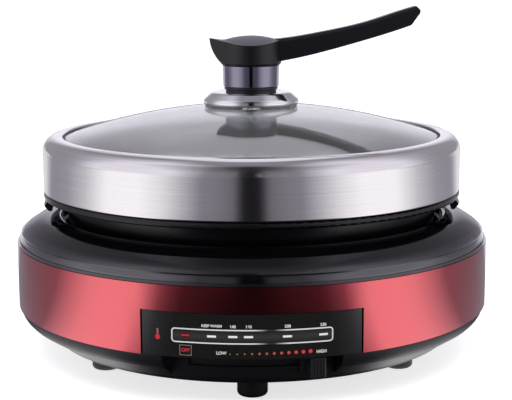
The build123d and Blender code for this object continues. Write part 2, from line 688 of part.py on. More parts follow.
def inlet_socket():
    """The moulded appliance inlet: flange, body and the cavity that a connector goes into."""
    width, depth, height = INLET_FLANGE
    seat = inlet_face - depth
    flange = block((width, depth, height), (-width / 2, seat, inlet_height - height / 2))
    flange = fillet(flange.edges().filter_by(Axis.Y), 3.0)
    body_width, body_height = inlet_body_size()
    back = inlet_face - INLET_DEPTH - INLET_BACK
    body_bottom = inlet_height - body_height / 2
    body = block((body_width, seat - back, body_height), (-body_width / 2, back, body_bottom))
    mouth_width, mouth_height = INLET_MOUTH
    cavity = block(
        (mouth_width, INLET_DEPTH, mouth_height),
        (-mouth_width / 2, inlet_face - INLET_DEPTH, inlet_height - mouth_height / 2),
    )
    cavity = chamfer(cavity.edges().filter_by(Axis.Y).group_by(Axis.Z)[-1], 4.0)
    socket = flange + body - cavity
    for side in (-1, 1):
        hole = Cylinder(INLET_SCREW[0] + PART_GAP, 20)
        socket -= Pos(side * INLET_SCREW_X, seat, inlet_height) * Rot(90, 0, 0) * hole
    for x, z in INLET_PINS:
        slot = block(
            (INLET_PIN[0], 20, INLET_PIN[1]),
            (x - INLET_PIN[0] / 2, back - 10, inlet_height + z - INLET_PIN[1] / 2),
        )
        socket -= slot
    return socket


def inlet_pins():
    """Three brass blades through the back of the inlet."""
    back = inlet_face - INLET_DEPTH - INLET_BACK
    length = PIN_TAIL + INLET_BACK + INLET_PIN_LENGTH
    blades = []
    for x, z in INLET_PINS:
        corner = (x - INLET_PIN[0] / 2, back - PIN_TAIL, inlet_height + z - INLET_PIN[1] / 2)
        blade = block((INLET_PIN[0], length, INLET_PIN[1]), corner)
        blades.append(chamfer(blade.faces().sort_by(Axis.Y)[-1].edges(), 0.5))
    return group(blades)


def inlet_screws():
    one = screw(INLET_SCREW, 0, INLET_BOSS[1] - 1.5)
    face = inlet_face
    return group(
        Pos(side * INLET_SCREW_X, face, inlet_height) * Rot(90, 0, 0) * one for side in (-1, 1)
    )


# ---------------------------------------------------------------- heater
def well_liner():
    """The pressed steel bowl that reflects the heat back up to the pan."""
    top = crest_height - WELL_LIP - LINER_SHEET - SNUG
    flange_edge = (liner_flange_radius, top)
    points = [(0, LINER_BOTTOM), (liner_radius, LINER_BOTTOM), (liner_radius, top), flange_edge]
    liner = turned_sheet(points, [LINER_ROUND, 1.0], LINER_SHEET)
    liner -= tube(LINER_HOLE, 0, 0, heater_bottom)
    for angle in POST_ANGLES:
        liner -= at(POST_CIRCLE, angle) * tube(CASE_SCREW[0] + 0.3, 0, 0, heater_bottom)
    for angle in SPACER_ANGLES:
        liner -= at(SPACER_CIRCLE, angle) * tube(HEATER_SCREW[0] + PART_GAP, 0, 0, heater_bottom)
    for side in (-1, 1):
        liner -= Pos(side * terminal_x, terminal_y, 0) * tube(ELEMENT_RADIUS + 1, 0, 0, heater_bottom)
    return liner


def liner_screws():
    one = screw(CASE_SCREW, liner_floor, LINER_BOTTOM - 12, head_down=False)
    return group(at(POST_CIRCLE, angle) * one for angle in POST_ANGLES)


def heat_shield():
    """The plate that keeps the liner's heat off the wiring, standing on the posts' steps."""
    shield = tube(shield_radius, SHIELD_HOLE, SHIELD_HEIGHT, SHIELD_HEIGHT + 0.8)
    for angle in POST_ANGLES:
        shield -= at(POST_CIRCLE, angle) * tube(POST_RADIUS + 0.2, 0, 0, LINER_BOTTOM)
    for side in (-1, 1):
        shield -= Pos(side * terminal_x, terminal_y, 0) * tube(ELEMENT_RADIUS + 2, 0, 0, LINER_BOTTOM)
    return shield


def heater_plate():
    """The cast aluminium plate that the pan stands on, grooved underneath for the element."""
    plate = tube(HEATER_RADIUS, HEATER_HOLE, heater_bottom, heater_top)
    plate = fillet(plate.edges().filter_by(GeomType.CIRCLE).sort_by(SortBy.RADIUS)[-2:], 1.5)
    groove = ELEMENT_RADIUS + SNUG
    plate -= tube(ELEMENT_CIRCLE + groove, ELEMENT_CIRCLE - groove, 0, element_height)
    plate -= Pos(0, 0, element_height) * Torus(ELEMENT_CIRCLE, groove)
    for angle in SPACER_ANGLES:
        plate -= at(SPACER_CIRCLE, angle) * tube(HEATER_SCREW[0] + SNUG, 0, 0, heater_top - 2.5)
    return plate


def heating_element():
    """The sheathed element: an open ring whose ends turn down to their terminal pins."""
    sweep_angle = 360 - 2 * ELEMENT_GAP_ANGLE
    section = Pos(ELEMENT_CIRCLE, element_height) * Circle(ELEMENT_RADIUS)
    ring = revolve(Plane.XZ * section, Axis.Z, revolution_arc=sweep_angle)
    element = Rot(0, 0, 90 + ELEMENT_GAP_ANGLE) * ring
    sleeve_end = element_pin_end + 8.0
    for side in (-1, 1):
        end = Pos(side * terminal_x, terminal_y, 0)
        element += end * Pos(0, 0, element_height) * Sphere(ELEMENT_RADIUS)
        element += end * tube(ELEMENT_RADIUS, 0, sleeve_end, element_height)
        element += end * tube(ELEMENT_PIN_RADIUS, 0, element_pin_end, sleeve_end)
    return element


def heater_spacers():
    one = tube(SPACER_RADIUS, HEATER_SCREW[0] + PART_GAP, liner_floor, heater_bottom)
    return group(at(SPACER_CIRCLE, angle) * one for angle in SPACER_ANGLES)


def heater_screws():
    one = screw(HEATER_SCREW, LINER_BOTTOM, heater_top - 3.0)
    return group(at(SPACER_CIRCLE, angle) * one for angle in SPACER_ANGLES)


# ---------------------------------------------------------------- pan sensor
def sensor_guide():
    """The tube that the sensor slides on, its neck spread under the liner like a rivet."""
    bore = BULB_RADIUS + RUNNING
    inner, outer = GUIDE_TUBE
    neck = LINER_HOLE - SNUG
    return turned(
        [
            (bore, guide_neck_end),
            (neck + 1.4, guide_neck_end),
            (neck + 1.4, LINER_BOTTOM),
            (neck, LINER_BOTTOM),
            (neck, liner_floor),
            (outer + 4, liner_floor),
            (outer + 4, guide_base_top),
            (outer, guide_base_top),
            (outer, guide_top),
            (inner, guide_top),
            (inner, guide_base_top),
            (bore, guide_base_top),
        ]
    )


def sensor_cap():
    """The aluminium cap that presses up against the pan."""
    skirt_inner = GUIDE_TUBE[1] + PART_GAP
    skirt_outer = skirt_inner + CAP_SKIRT
    skirt_bottom = guide_base_top + SENSOR_TRAVEL + 0.7
    return turned(
        [
            (0, cap_under),
            (skirt_inner, cap_under),
            (skirt_inner, skirt_bottom),
            (skirt_outer, skirt_bottom),
            (skirt_outer, cap_under),
            (CAP_RADIUS, cap_under),
            (CAP_RADIUS, cap_top),
            (0, cap_top),
        ],
        [0, 0, 0, 0, 0, 0, 0.8, 0],
    )


def sensor_bulb():
    """The thermostat's bulb under the cap, bored at its end for the capillary."""
    bulb = tube(BULB_RADIUS, 0, bulb_bottom, cap_under)
    groove_top = guide_neck_end - PART_GAP
    bulb -= tube(BULB_RADIUS + 1, BULB_RADIUS - 0.6, groove_top - 1.1, groove_top)
    return bulb - tube(CAPILLARY_RADIUS + 0.4, 0, bulb_bottom - 1, cap_under - 6)


def sensor_clip():
    """The retaining clip that stops the spring from pushing the bulb out of its guide."""
    top = guide_neck_end - PART_GAP
    ring = tube(BULB_RADIUS + 2.4, BULB_RADIUS - 0.6 + RUNNING, top - 1.05, top - 0.05)
    return ring - Pos(0, BULB_RADIUS, top) * Box(2.4, 2 * BULB_RADIUS, 8)


def sensor_spring():
    """The coil spring inside the guide tube."""
    low = guide_base_top + SPRING_WIRE + 0.05
    high = cap_under - SPRING_WIRE - 0.05
    helix = Pos(0, 0, low) * Helix((high - low) / SPRING_TURNS, high - low, SPRING_RADIUS)
    start = Plane(origin=helix @ 0, z_dir=helix % 0)
    return sweep(start * Circle(SPRING_WIRE), path=helix, is_frenet=True)


# ---------------------------------------------------------------- thermostat and slider
def thermostat_body():
    """The capillary thermostat, screwed to two pads on the floor."""
    half = THERMOSTAT_SIZE / 2
    body = block((THERMOSTAT_SIZE, THERMOSTAT_SIZE, thermostat_top - floor_top), (-half, -half, floor_top))
    body = fillet(body.edges().filter_by(Axis.Z), 3.0)
    for side in (-1, 1):
        tab = block((10.0, 8.0, 1.6), (-5.0, -4.0, thermostat_tab))
        screw_place = Pos(side * TAB_SCREW_X, 0, 0)
        body += Pos(side * (TAB_SCREW_X - 0.5), 0, 0) * tab
        body -= screw_place * tube(TAB_PAD_RADIUS + PART_GAP, 0, 0, thermostat_tab)
        body -= screw_place * tube(TAB_SCREW[0] + PART_GAP, 0, 0, thermostat_top)
    body -= tube(SPINDLE_RADIUS + RUNNING, 0, thermostat_top - 5.0, thermostat_top + 1)
    body -= Pos(0, half, capillary_height) * Rot(90, 0, 0) * Cylinder(CAPILLARY_RADIUS + SNUG, 8)
    return thermostat_place() * body


def thermostat_screws():
    one = screw(TAB_SCREW, thermostat_tab + 1.6, floor_top, head_down=False)
    return group(thermostat_place() * Pos(side * TAB_SCREW_X, 0, 0) * one for side in (-1, 1))


def thermostat_spindle():
    """The thermostat's steel spindle, with a flat where the pinion sits."""
    spindle = tube(SPINDLE_RADIUS, 0, thermostat_top - 4.8, spindle_top)
    flat = block((20, 20, 20), (-10, SPINDLE_RADIUS - 1.0, thermostat_top + PART_GAP))
    return thermostat_place() * (spindle - flat)


def drive_pinion():
    """The nylon pinion on the spindle, with involute teeth. One tooth points outwards."""
    pressure = radians(20)
    base = pinion_pitch_radius * cos(pressure)
    tip = pinion_pitch_radius + 0.9 * GEAR_MODULE
    root = pinion_pitch_radius - 1.25 * GEAR_MODULE
    tooth_at_pitch = pi * GEAR_MODULE / 2 - TOOTH_PLAY / 2
    inv = tan(pressure) - pressure
    half_at_base = tooth_at_pitch / (2 * pinion_pitch_radius) + inv

    def flank(radius):
        roll = sqrt(max((radius / base) ** 2 - 1, 0))
        return half_at_base - (roll - atan(roll))

    steps = 5
    start = max(base, root)
    radii = [start + (tip - start) * step / steps for step in range(steps + 1)]
    outline = []
    for tooth in range(PINION_TEETH):
        middle = -pi / 2 + 2 * pi * tooth / PINION_TEETH
        low = [(root, middle - flank(start))] + [(radius, middle - flank(radius)) for radius in radii]
        high = [(radius, 2 * middle - angle) for radius, angle in reversed(low)]
        outline += [(radius * cos(angle), radius * sin(angle)) for radius, angle in low + high]
    face = make_face(Polyline(*outline, close=True))
    gear = Pos(0, 0, rack_bottom) * extrude(face, RACK_THICKNESS)
    hub = tube(SPINDLE_RADIUS + 2.5, 0, rack_bottom, spindle_top - 0.5)
    bore = tube(SPINDLE_RADIUS + RUNNING, 0, 0, spindle_top + 1)
    bore -= block((20, 20, 60), (-10, SPINDLE_RADIUS - 1.0 + RUNNING, 0))
    return thermostat_place() * (gear + hub - bore)


def slider_carriage():
    """Behind the guide wall: the strip that covers the slot and the toothed sector."""
    strip_from = SLIDER_REST - SLIDER_TRAVEL / 2 - slot_half_angle - 1.3
    strip_to = SLIDER_REST + SLIDER_TRAVEL / 2 + slot_half_angle + 1.3
    tooth_angle = 360 * GEAR_MODULE / (2 * rack_pitch_radius)
    rack_from = PINION_ANGLE - 2 * tooth_angle
    rack_to = PINION_ANGLE + SLIDER_TRAVEL + 2 * tooth_angle
    carriage = arc_bar(strip_inner, strip_outer, strip_bottom, strip_top, strip_from, strip_to)
    carriage += arc_bar(strip_inner, strip_outer, strip_bottom, strip_top, rack_from, strip_from + 1)
    rack_top = rack_bottom + RACK_THICKNESS
    carriage += arc_bar(rack_root, strip_inner + 0.5, rack_bottom, rack_top, rack_from, rack_to)
    # Straight-sided teeth, with a gap at the pinion's outward tooth.
    pitch = pi * GEAR_MODULE
    width = pitch / 2 - TOOTH_PLAY / 2
    slope = tan(radians(20))
    at_root = width / 2 + (rack_root - rack_pitch_radius) * slope
    at_tip = width / 2 - (rack_pitch_radius - rack_tip) * slope
    tooth = make_face(
        Polyline(
            (-at_root, -rack_root - 0.5),
            (at_root, -rack_root - 0.5),
            (at_tip, -rack_tip),
            (-at_tip, -rack_tip),
            close=True,
        )
    )
    tooth = Pos(0, 0, rack_bottom) * extrude(tooth, RACK_THICKNESS)
    count = round((rack_to - rack_from) / tooth_angle)
    for index in range(count):
        carriage += Rot(0, 0, rack_from + (index + 0.5) * tooth_angle) * tooth
    socket = Box(LEVER_NECK + 0.2, 12, slot_top - slot_bottom - 1.2)
    return carriage - at(strip_inner, SLIDER_REST, (slot_top + slot_bottom) / 2) * socket


def slider_lever():
    """The ribbed thumb lever with its shoe, and the neck that snaps into the carriage."""
    middle = (slot_top + slot_bottom) / 2
    shoe_inner = guide_radius + PART_GAP
    shoe_outer = shoe_inner + LEVER_SHOE
    shoe = arc_bar(
        shoe_inner, shoe_outer, lever_bottom + 1.5, lever_top - 0.5, -LEVER_SHOE_HALF_ANGLE,
        LEVER_SHOE_HALF_ANGLE,
    )
    edge_rib = arc_bar(
        shoe_outer - 0.5, shoe_outer + 2.0, lever_bottom + 1.5, lever_top - 0.5,
        -LEVER_SHOE_HALF_ANGLE, -LEVER_SHOE_HALF_ANGLE + LEVER_SHOE_RIB,
    )
    height = lever_top - lever_bottom
    reach = lever_front - shoe_outer + 0.8
    grip = block((LEVER_WIDTH, reach, height), (-LEVER_WIDTH / 2, -lever_front, lever_bottom))
    grip = fillet(grip.faces().sort_by(Axis.Y)[0].edges(), 1.2)
    for index in range(4):
        x = (index - 1.5) * LEVER_WIDTH / 5
        grip -= Pos(x, -lever_front, lever_bottom + height / 2) * Box(0.9, 1.0, height - 3.0)
    neck_height = slot_top - slot_bottom - 1.6
    neck_end = strip_inner - 2.0
    neck = block((LEVER_NECK, shoe_inner + 0.8 - neck_end, neck_height),
                 (-LEVER_NECK / 2, -shoe_inner - 0.8, middle - neck_height / 2))
    barb = block((LEVER_NECK + 2.0, 1.6, neck_height),
                 (-LEVER_NECK / 2 - 1.0, -strip_inner + 0.25, middle - neck_height / 2))
    lever = shoe + edge_rib + grip + neck + barb
    return Rot(0, 0, SLIDER_REST) * lever


# ---------------------------------------------------------------- wiring
def capillary_tube():
    """From the bulb down through the liner and out to the thermostat, in gentle bends."""
    reach = pinion_circle - THERMOSTAT_SIZE / 2
    points = [
        (0, 0, cap_under - 9),
        (0, 0, capillary_height + 2.0),
        (7.0, -26.0, capillary_height + 1.0),
        (-7.0, -62.0, capillary_height),
        (0, -98.0, capillary_height + 0.5),
        (0, 9.0 - reach, capillary_height),
        (0, -reach - 3.0, capillary_height),
    ]
    return Rot(0, 0, PINION_ANGLE) * wire_along(points, CAPILLARY_RADIUS)


def lead_wires():
    """Insulated leads: inlet to thermostat, thermostat to element, inlet to element."""
    pin_end = inlet_face - INLET_DEPTH - INLET_BACK - PIN_TAIL
    turn_y = pin_end - 5.2
    live, neutral = INLET_PINS[0], INLET_PINS[1]
    inner_face = THERMOSTAT_SIZE / 2

    def thermostat_terminal(x, inwards):
        place = thermostat_place() * Pos(x, inner_face + inwards, lead_height)
        return tuple(place.position)

    element_y = terminal_y
    routes = [
        [
            (live[0], pin_end, inlet_height + live[1]),
            (live[0], turn_y, inlet_height + live[1]),
            (live[0] - 4.0, turn_y, lead_height - 1.0),
            (-62.0, 112.0, lead_height - 1.5),
            (-92.0, 30.0, lead_height - 1.5),
            (-92.0, -55.0, lead_height),
            thermostat_terminal(-11.0, 8.0),
            thermostat_terminal(-11.0, 0.0),
        ],
        [
            thermostat_terminal(-6.5, 0.0),
            thermostat_terminal(-6.5, 12.0),
            (-66.0, -50.0, lead_height),
            (-50.0, 20.0, lead_height - 1.0),
            (-terminal_x, element_y, lead_height - 1.5),
            (-terminal_x, element_y, element_pin_end),
        ],
        [
            (neutral[0], pin_end, inlet_height + neutral[1]),
            (neutral[0], turn_y, inlet_height + neutral[1]),
            (neutral[0] + 4.0, turn_y, lead_height - 1.0),
            (terminal_x, FUSE_Y + FUSE_LENGTH, lead_height - 1.5),
            (terminal_x, element_y, lead_height - 1.5),
            (terminal_x, element_y, element_pin_end),
        ],
    ]
    return group(wire_along(route, WIRE_RADIUS) for route in routes)


def thermal_fuse():
    """Ceramic sleeve of the thermal fuse on the lead from the inlet to the element."""
    barrel = Cylinder(FUSE_RADIUS, FUSE_LENGTH) - Cylinder(WIRE_RADIUS + RUNNING, FUSE_LENGTH + 2)
    return Pos(terminal_x, FUSE_Y, lead_height - 1.5) * Rot(90, 0, 0) * barrel


# ---------------------------------------------------------------- pan
def pan():
    """The deep cast aluminium pan with a flat rim."""
    inner_foot = pan_foot_radius - PAN_WALL + 0.2
    inner_mouth = PAN_MOUTH_RADIUS - PAN_WALL
    rim_round = 0.38 * PAN_RIM_THICKNESS
    body = turned(
        [
            (0, pan_bottom),
            (pan_foot_radius, pan_bottom),
            (PAN_MOUTH_RADIUS, rim_under),
            (pan_rim_radius, rim_under),
            (pan_rim_radius, pan_rim_top),
            (inner_mouth, pan_rim_top),
            (inner_foot, pan_bottom + PAN_FLOOR),
            (0, pan_bottom + PAN_FLOOR),
        ],
        [0, PAN_FOOT_ROUND, 2.0, rim_round, rim_round, 2.0, PAN_FOOT_ROUND - 3.0, 0],
    )
    for side in (-90, 90):
        for turn in (-GRIP_SCREW_ANGLE, GRIP_SCREW_ANGLE):
            hole = tube(GRIP_SCREW[0] + SNUG, 0, rim_under - 1, rim_under + 3.2)
            body -= at(grip_screw_circle, side + turn) * hole
    return body


def pan_grip(angle):
    """A hooked finger grip under the pan's rim."""
    low = rim_under - GRIP_HEIGHT
    recess = rim_under - GRIP_RECESS
    section = FilletPolyline(
        (grip_start, rim_under),
        (grip_radius - 4.0, rim_under),
        (grip_radius, rim_under - GRIP_EDGE),
        (grip_radius - 3.4, low),
        (grip_radius - 6.0, low),
        (grip_radius - 7.6, recess),
        (grip_start, recess),
        radius=[0, 0.6, 0.8, 0.8, 0.8, 1.0, 0],
        close=True,
    )
    grip = revolve(Plane.XZ * make_face(section), Axis.Z, revolution_arc=2 * GRIP_HALF_ANGLE)
    grip = Rot(0, 0, -90 - GRIP_HALF_ANGLE) * grip
    for turn in (-GRIP_SCREW_ANGLE, GRIP_SCREW_ANGLE):
        grip -= at(grip_screw_circle, turn) * tube(GRIP_SCREW[0] + PART_GAP, 0, low - 1, rim_under + 1)
    return Rot(0, 0, angle) * grip


def grip_screws():
    one = screw(GRIP_SCREW, rim_under - GRIP_RECESS, rim_under + 2.8)
    return group(
        at(grip_screw_circle, side + turn) * one
        for side in (-90, 90)
        for turn in (-GRIP_SCREW_ANGLE, GRIP_SCREW_ANGLE)
    )


# ---------------------------------------------------------------- lid
def lid_ring():
    """The brushed steel ring: a spigot in the pan's mouth, a tall side and a folded lip."""
    lip_end = ring_top - RING_LIP_DEPTH
    points = [
        (spigot_radius, ring_bottom - SPIGOT_DEPTH),
        (spigot_radius, ring_bottom),
        (ring_radius, ring_bottom),
        (ring_radius, ring_top),
        (ring_lip_radius, ring_top),
        (ring_lip_radius, lip_end),
        (ring_lip_radius - RING_LEDGE, lip_end),
    ]
    return turned_sheet(points, [0.9, 1.2, RING_SHOULDER, 1.6, 1.0], RING_SHEET)


def glass_height(radius, below=0.0):
    """Height of the glass's upper face, or of a face that far below it, at a radius."""
    curve = glass_curve - below
    return glass_apex - glass_curve + sqrt(curve**2 - radius**2)


def glass_cap(extra):
    """The domed pane, grown all round by extra."""
    rim = glass_radius + extra
    upper = glass_curve + extra
    lower = glass_curve - GLASS_THICKNESS - extra
    centre = glass_apex - glass_curve

    def point(radius, curve):
        return (radius, centre + sqrt(curve**2 - radius**2))

    top = ThreePointArc(point(0, upper), point(rim / 2, upper), point(rim, upper))
    edge = Line(point(rim, upper), point(rim, lower))
    under = ThreePointArc(point(rim, lower), point(rim / 2, lower), point(0, lower))
    axis = Line(point(0, lower), point(0, upper))
    return revolve(Plane.XZ * make_face([line.edge() for line in (top, edge, under, axis)]), Axis.Z)


def lid_glass():
    """Tempered glass dome with a hole for the handle screw."""
    return glass_cap(0) - tube(GLASS_HOLE, 0, 0, glass_apex + 1)


def lid_seal():
    """The black silicone channel round the glass, seated on the ring's ledge."""
    seat = ring_top - RING_LIP_DEPTH
    outer = ring_lip_radius - SNUG
    inner = ring_lip_radius - RING_LEDGE
    lip = glass_radius - SEAL_LAP
    ring = turned(
        [
            (inner, seat),
            (outer, seat),
            (outer, glass_height(glass_radius) + 0.5),
            (lip, glass_height(lip) + 0.4),
            (inner, glass_height(inner, GLASS_THICKNESS) + 0.5),
        ],
        [0.4, 1.3, 0.3, 0.15, 0],
    )
    return ring - glass_cap(RUNNING)


# ---------------------------------------------------------------- lid handle
def knob_plate():
    """The chromed pressed cup under the handle."""
    bottom = glass_height(PLATE_RADIUS - 2.1) + SNUG
    points = [
        (PLATE_RADIUS - 2.1, bottom),
        (PLATE_RADIUS, bottom + 4.8),
        (31.0, plate_top + 1.4),
        (23.5, plate_top),
        (12.3, plate_top),
    ]
    return turned_sheet(points, [4.5, 6.0, 2.5], PLATE_SHEET)


def knob_gasket():
    """Silicone washer on the glass, with a sleeve down its hole."""
    bore = KNOB_SCREW[0] + 0.2
    top = glass_apex + 1.7
    return turned(
        [
            (bore, glass_under),
            (GLASS_HOLE - 0.2, glass_under),
            (GLASS_HOLE - 0.2, glass_apex),
            (15.0, glass_apex),
            (15.0, top),
            (bore, top),
        ]
    )


def knob_spacer():
    """Black spacer that clamps the plate to the glass and carries the stem."""
    bore = KNOB_SCREW[0] + 0.2
    return turned(
        [
            (bore, glass_apex + 1.7),
            (12.0, glass_apex + 1.7),
            (12.0, plate_top),
            (20.4, plate_top),
            (20.4, plate_top + 2.4),
            (21.6, plate_top + 3.0),
            (21.6, stem_bottom),
            (bore, stem_bottom),
        ],
        [0, 0, 0, 0.4, 0, 0.3, 0.3, 0],
    )


def knob_stem():
    """The glossy stem: a hollow drum with a middle column for the screw."""
    bore = KNOB_SCREW[0] + 0.2
    shell = turned(
        [
            (0, stem_bottom),
            (STEM_RADIUS, stem_bottom),
            (STEM_RADIUS + STEM_FLARE, hub_bottom),
            (0, hub_bottom),
        ],
        [0, 0.6, 0.3, 0],
    )
    hollow = tube(STEM_RADIUS - STEM_WALL, 7.0, stem_bottom + 2.5, hub_bottom + 1)
    return shell - hollow - tube(bore, 0, 0, hub_bottom + 1)


def crowned(start, reach, rise=0.0):
    """A bar along X with the hub's round top, its top climbing by rise over its reach."""
    half, depth = 40.0, 30.0
    shoulder = hub_top - HUB_CROWN + sqrt(HUB_CROWN**2 - half**2)
    arc = ThreePointArc((-half, shoulder), (0, hub_top), (half, shoulder))
    floor = hub_top - depth
    sides = Polyline((half, shoulder), (half, floor), (-half, floor), (-half, shoulder))
    section = Pos(start, 0, 0) * (Plane.YZ * make_face(arc.edges() + sides.edges()))
    return extrude(section, hypot(reach, rise), dir=(reach, 0, rise))


def handle_hub():
    """The hub of the handle: round, and drawn out to a rising beak away from the arm."""
    tip_top = hub_top + BEAK_LIFT
    # The beak's side curve, turned round Z, also gives the hub its flared foot.
    foot = (HUB_RADIUS, hub_bottom)
    curve = Spline(
        foot,
        (HUB_RADIUS + 3.8, hub_bottom + 4.2),
        (HUB_RADIUS + 7.6, hub_bottom + 10.2),
        (BEAK_REACH - 0.6, hub_bottom + 17.3),
        (BEAK_REACH, tip_top),
    )
    above = tip_top + 5.0
    rest = Polyline((BEAK_REACH, tip_top), (BEAK_REACH, above), (0, above), (0, hub_bottom), foot)
    flare = revolve(Plane.XZ * make_face(curve.edges() + rest.edges()), Axis.Z)
    # In plan the beak's flanks run off the round hub to a narrow rounded tip.
    tip = Pos(BEAK_TIP - BEAK_REACH, 0) * Circle(BEAK_TIP)
    plan = make_hull(Circle(HUB_FULL_RADIUS).edges() + tip.edges())
    hub = flare & (Pos(0, 0, hub_bottom) * extrude(plan, 40))
    beak_start = -HUB_RADIUS - 1.4
    reach = -BEAK_REACH - 4.0 - beak_start
    rise = BEAK_LIFT * -reach / (beak_start + BEAK_REACH)
    return hub & (crowned(beak_start, 70.0) + crowned(beak_start, reach, rise))


def handle_arm():
    """The lever arm, rising to the right, square in section with broken edges."""
    def up(reach, rise):
        """A point of the side view, by its shares of the arm's reach and rise."""
        return (reach * ARM_REACH, hub_bottom + rise * ARM_RISE)

    under_root = (0.8 * HUB_RADIUS, hub_bottom + 2.6)
    top_root = (0.7 * HUB_RADIUS, hub_top - 0.1)
    under_tip = up(0.948, 0.674)
    top_tip = up(0.978, 1.0)
    under = Spline(under_root, up(0.297, 0.142), up(0.593, 0.36), up(0.8, 0.534), under_tip)
    top = Spline(top_tip, up(0.89, 0.927), up(0.668, 0.725), up(0.445, 0.584), up(0.178, 0.459), top_root)
    end = Polyline(under_tip, up(1.0, 0.884), up(1.0, 0.936), top_tip)
    root = Line(top_root, under_root)
    outline = make_face(under.edges() + end.edges() + top.edges() + root.edges())
    arm = extrude(Plane.XZ * outline, ARM_HALF_WIDTH, both=True)
    long_edges = arm.edges().filter_by(GeomType.BSPLINE).sort_by(Axis.Z)
    arm = chamfer(long_edges[-2:], ARM_TOP_EDGE)
    return chamfer(arm.edges().filter_by(GeomType.BSPLINE).sort_by(Axis.Z)[:2], ARM_EDGE)


def lid_handle():
    """Hub, beak and arm in one matte moulding, pocketed for its cap."""
    handle = handle_hub() + handle_arm()
    handle -= tube(KNOB_CAP_RADIUS + 2 * SNUG, 0, cap_seat, hub_top + 20)
    handle -= tube(KNOB_CAP_RADIUS - 4.0, 7.0, hub_bottom + 4.0, cap_seat + 1)
    return handle - tube(KNOB_SCREW[0] + SNUG, 0, 0, hub_bottom + 11.0)


def knob_cap():
    """The crowned disc that closes the top of the hub, flush with it all round."""
    radius_x = KNOB_CAP_RADIUS**2 / (2 * KNOB_CAP_RISE)
    radius_y = 1 / (1 / radius_x + 1 / HUB_CROWN)
    apex = hub_top + KNOB_CAP_RISE
    half = KNOB_CAP_RADIUS + 3
    drop = radius_y - sqrt(radius_y**2 - half**2)
    arc = ThreePointArc((-half, apex - drop), (0, apex), (half, apex - drop))
    below = apex - radius_x + 20
    sides = Polyline((half, apex - drop), (half, below), (-half, below), (-half, apex - drop))
    section = Plane.YZ * make_face(arc.edges() + sides.edges())
    turning = Axis((0, 0, apex - radius_x), (0, 1, 0))
    barrel = revolve(section, turning, revolution_arc=60) + revolve(section, turning, revolution_arc=-60)
    return barrel & tube(KNOB_CAP_RADIUS, 0, cap_seat, apex + 5)


def knob_washer():
    return tube(14.0, KNOB_SCREW[0] + 0.3, glass_under - 1.8, glass_under - 0.25)


def knob_screw():
    return screw(KNOB_SCREW, glass_under - 1.8, hub_bottom + 10.0)


# ---------------------------------------------------------------- the assembly
NODES = {
    "lower_housing": lower_housing,
    "feet": feet,
    "foot_screws": foot_screws,
    "side_wall": side_wall,
    "red_band": red_band,
    "upper_housing": upper_housing,
    "housing_screws": housing_screws,
    "control_panel": control_panel,
    "indicator_lamp": indicator_lamp,
    "lamp_holder": lamp_holder,
    "inlet_frame": inlet_frame,
    "inlet_socket": inlet_socket,
    "inlet_pins": inlet_pins,
    "inlet_screws": inlet_screws,
    "well_liner": well_liner,
    "liner_screws": liner_screws,
    "heat_shield": heat_shield,
    "heater_plate": heater_plate,
    "heating_element": heating_element,
    "heater_spacers": heater_spacers,
    "heater_screws": heater_screws,
    "sensor_guide": sensor_guide,
    "sensor_cap": sensor_cap,
    "sensor_bulb": sensor_bulb,
    "sensor_clip": sensor_clip,
    "sensor_spring": sensor_spring,
    "thermostat_body": thermostat_body,
    "thermostat_screws": thermostat_screws,
    "thermostat_spindle": thermostat_spindle,
    "drive_pinion": drive_pinion,
    "slider_carriage": slider_carriage,
    "slider_lever": slider_lever,
    "capillary_tube": capillary_tube,
    "lead_wires": lead_wires,
    "thermal_fuse": thermal_fuse,
    "pan": pan,
    "pan_grip_left": lambda: pan_grip(-90),
    "pan_grip_right": lambda: pan_grip(90),
    "grip_screws": grip_screws,
    "lid_ring": lid_ring,
    "lid_seal": lid_seal,
    "lid_glass": lid_glass,
    "knob_plate": knob_plate,
    "knob_gasket": knob_gasket,
    "knob_spacer": knob_spacer,
    "knob_stem": knob_stem,
    "lid_handle": lid_handle,
    "knob_cap": knob_cap,
    "knob_washer": knob_washer,
    "knob_screw": knob_screw,
}

os.makedirs("parts", exist_ok=True)
for name, make in NODES.items():
    export_step(make(), f"parts/{name}.step")
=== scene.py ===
from math import cos, pi, radians, sin

import bpy
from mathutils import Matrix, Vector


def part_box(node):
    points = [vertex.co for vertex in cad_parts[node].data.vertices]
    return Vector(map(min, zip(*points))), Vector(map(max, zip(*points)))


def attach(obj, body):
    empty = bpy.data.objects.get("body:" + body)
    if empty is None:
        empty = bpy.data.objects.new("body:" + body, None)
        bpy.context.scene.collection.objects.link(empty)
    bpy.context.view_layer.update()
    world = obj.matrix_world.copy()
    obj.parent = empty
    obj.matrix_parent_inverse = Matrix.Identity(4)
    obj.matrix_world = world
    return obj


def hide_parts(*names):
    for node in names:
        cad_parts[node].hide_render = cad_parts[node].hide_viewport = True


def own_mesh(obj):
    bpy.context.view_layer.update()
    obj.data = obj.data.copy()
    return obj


# An electric hot pot: red-banded black base, black non-stick pan, steel-rimmed glass lid.
# Metres, in the CAD frame: the floor is z = 0, Z runs up the pot's middle, -Y is the front.

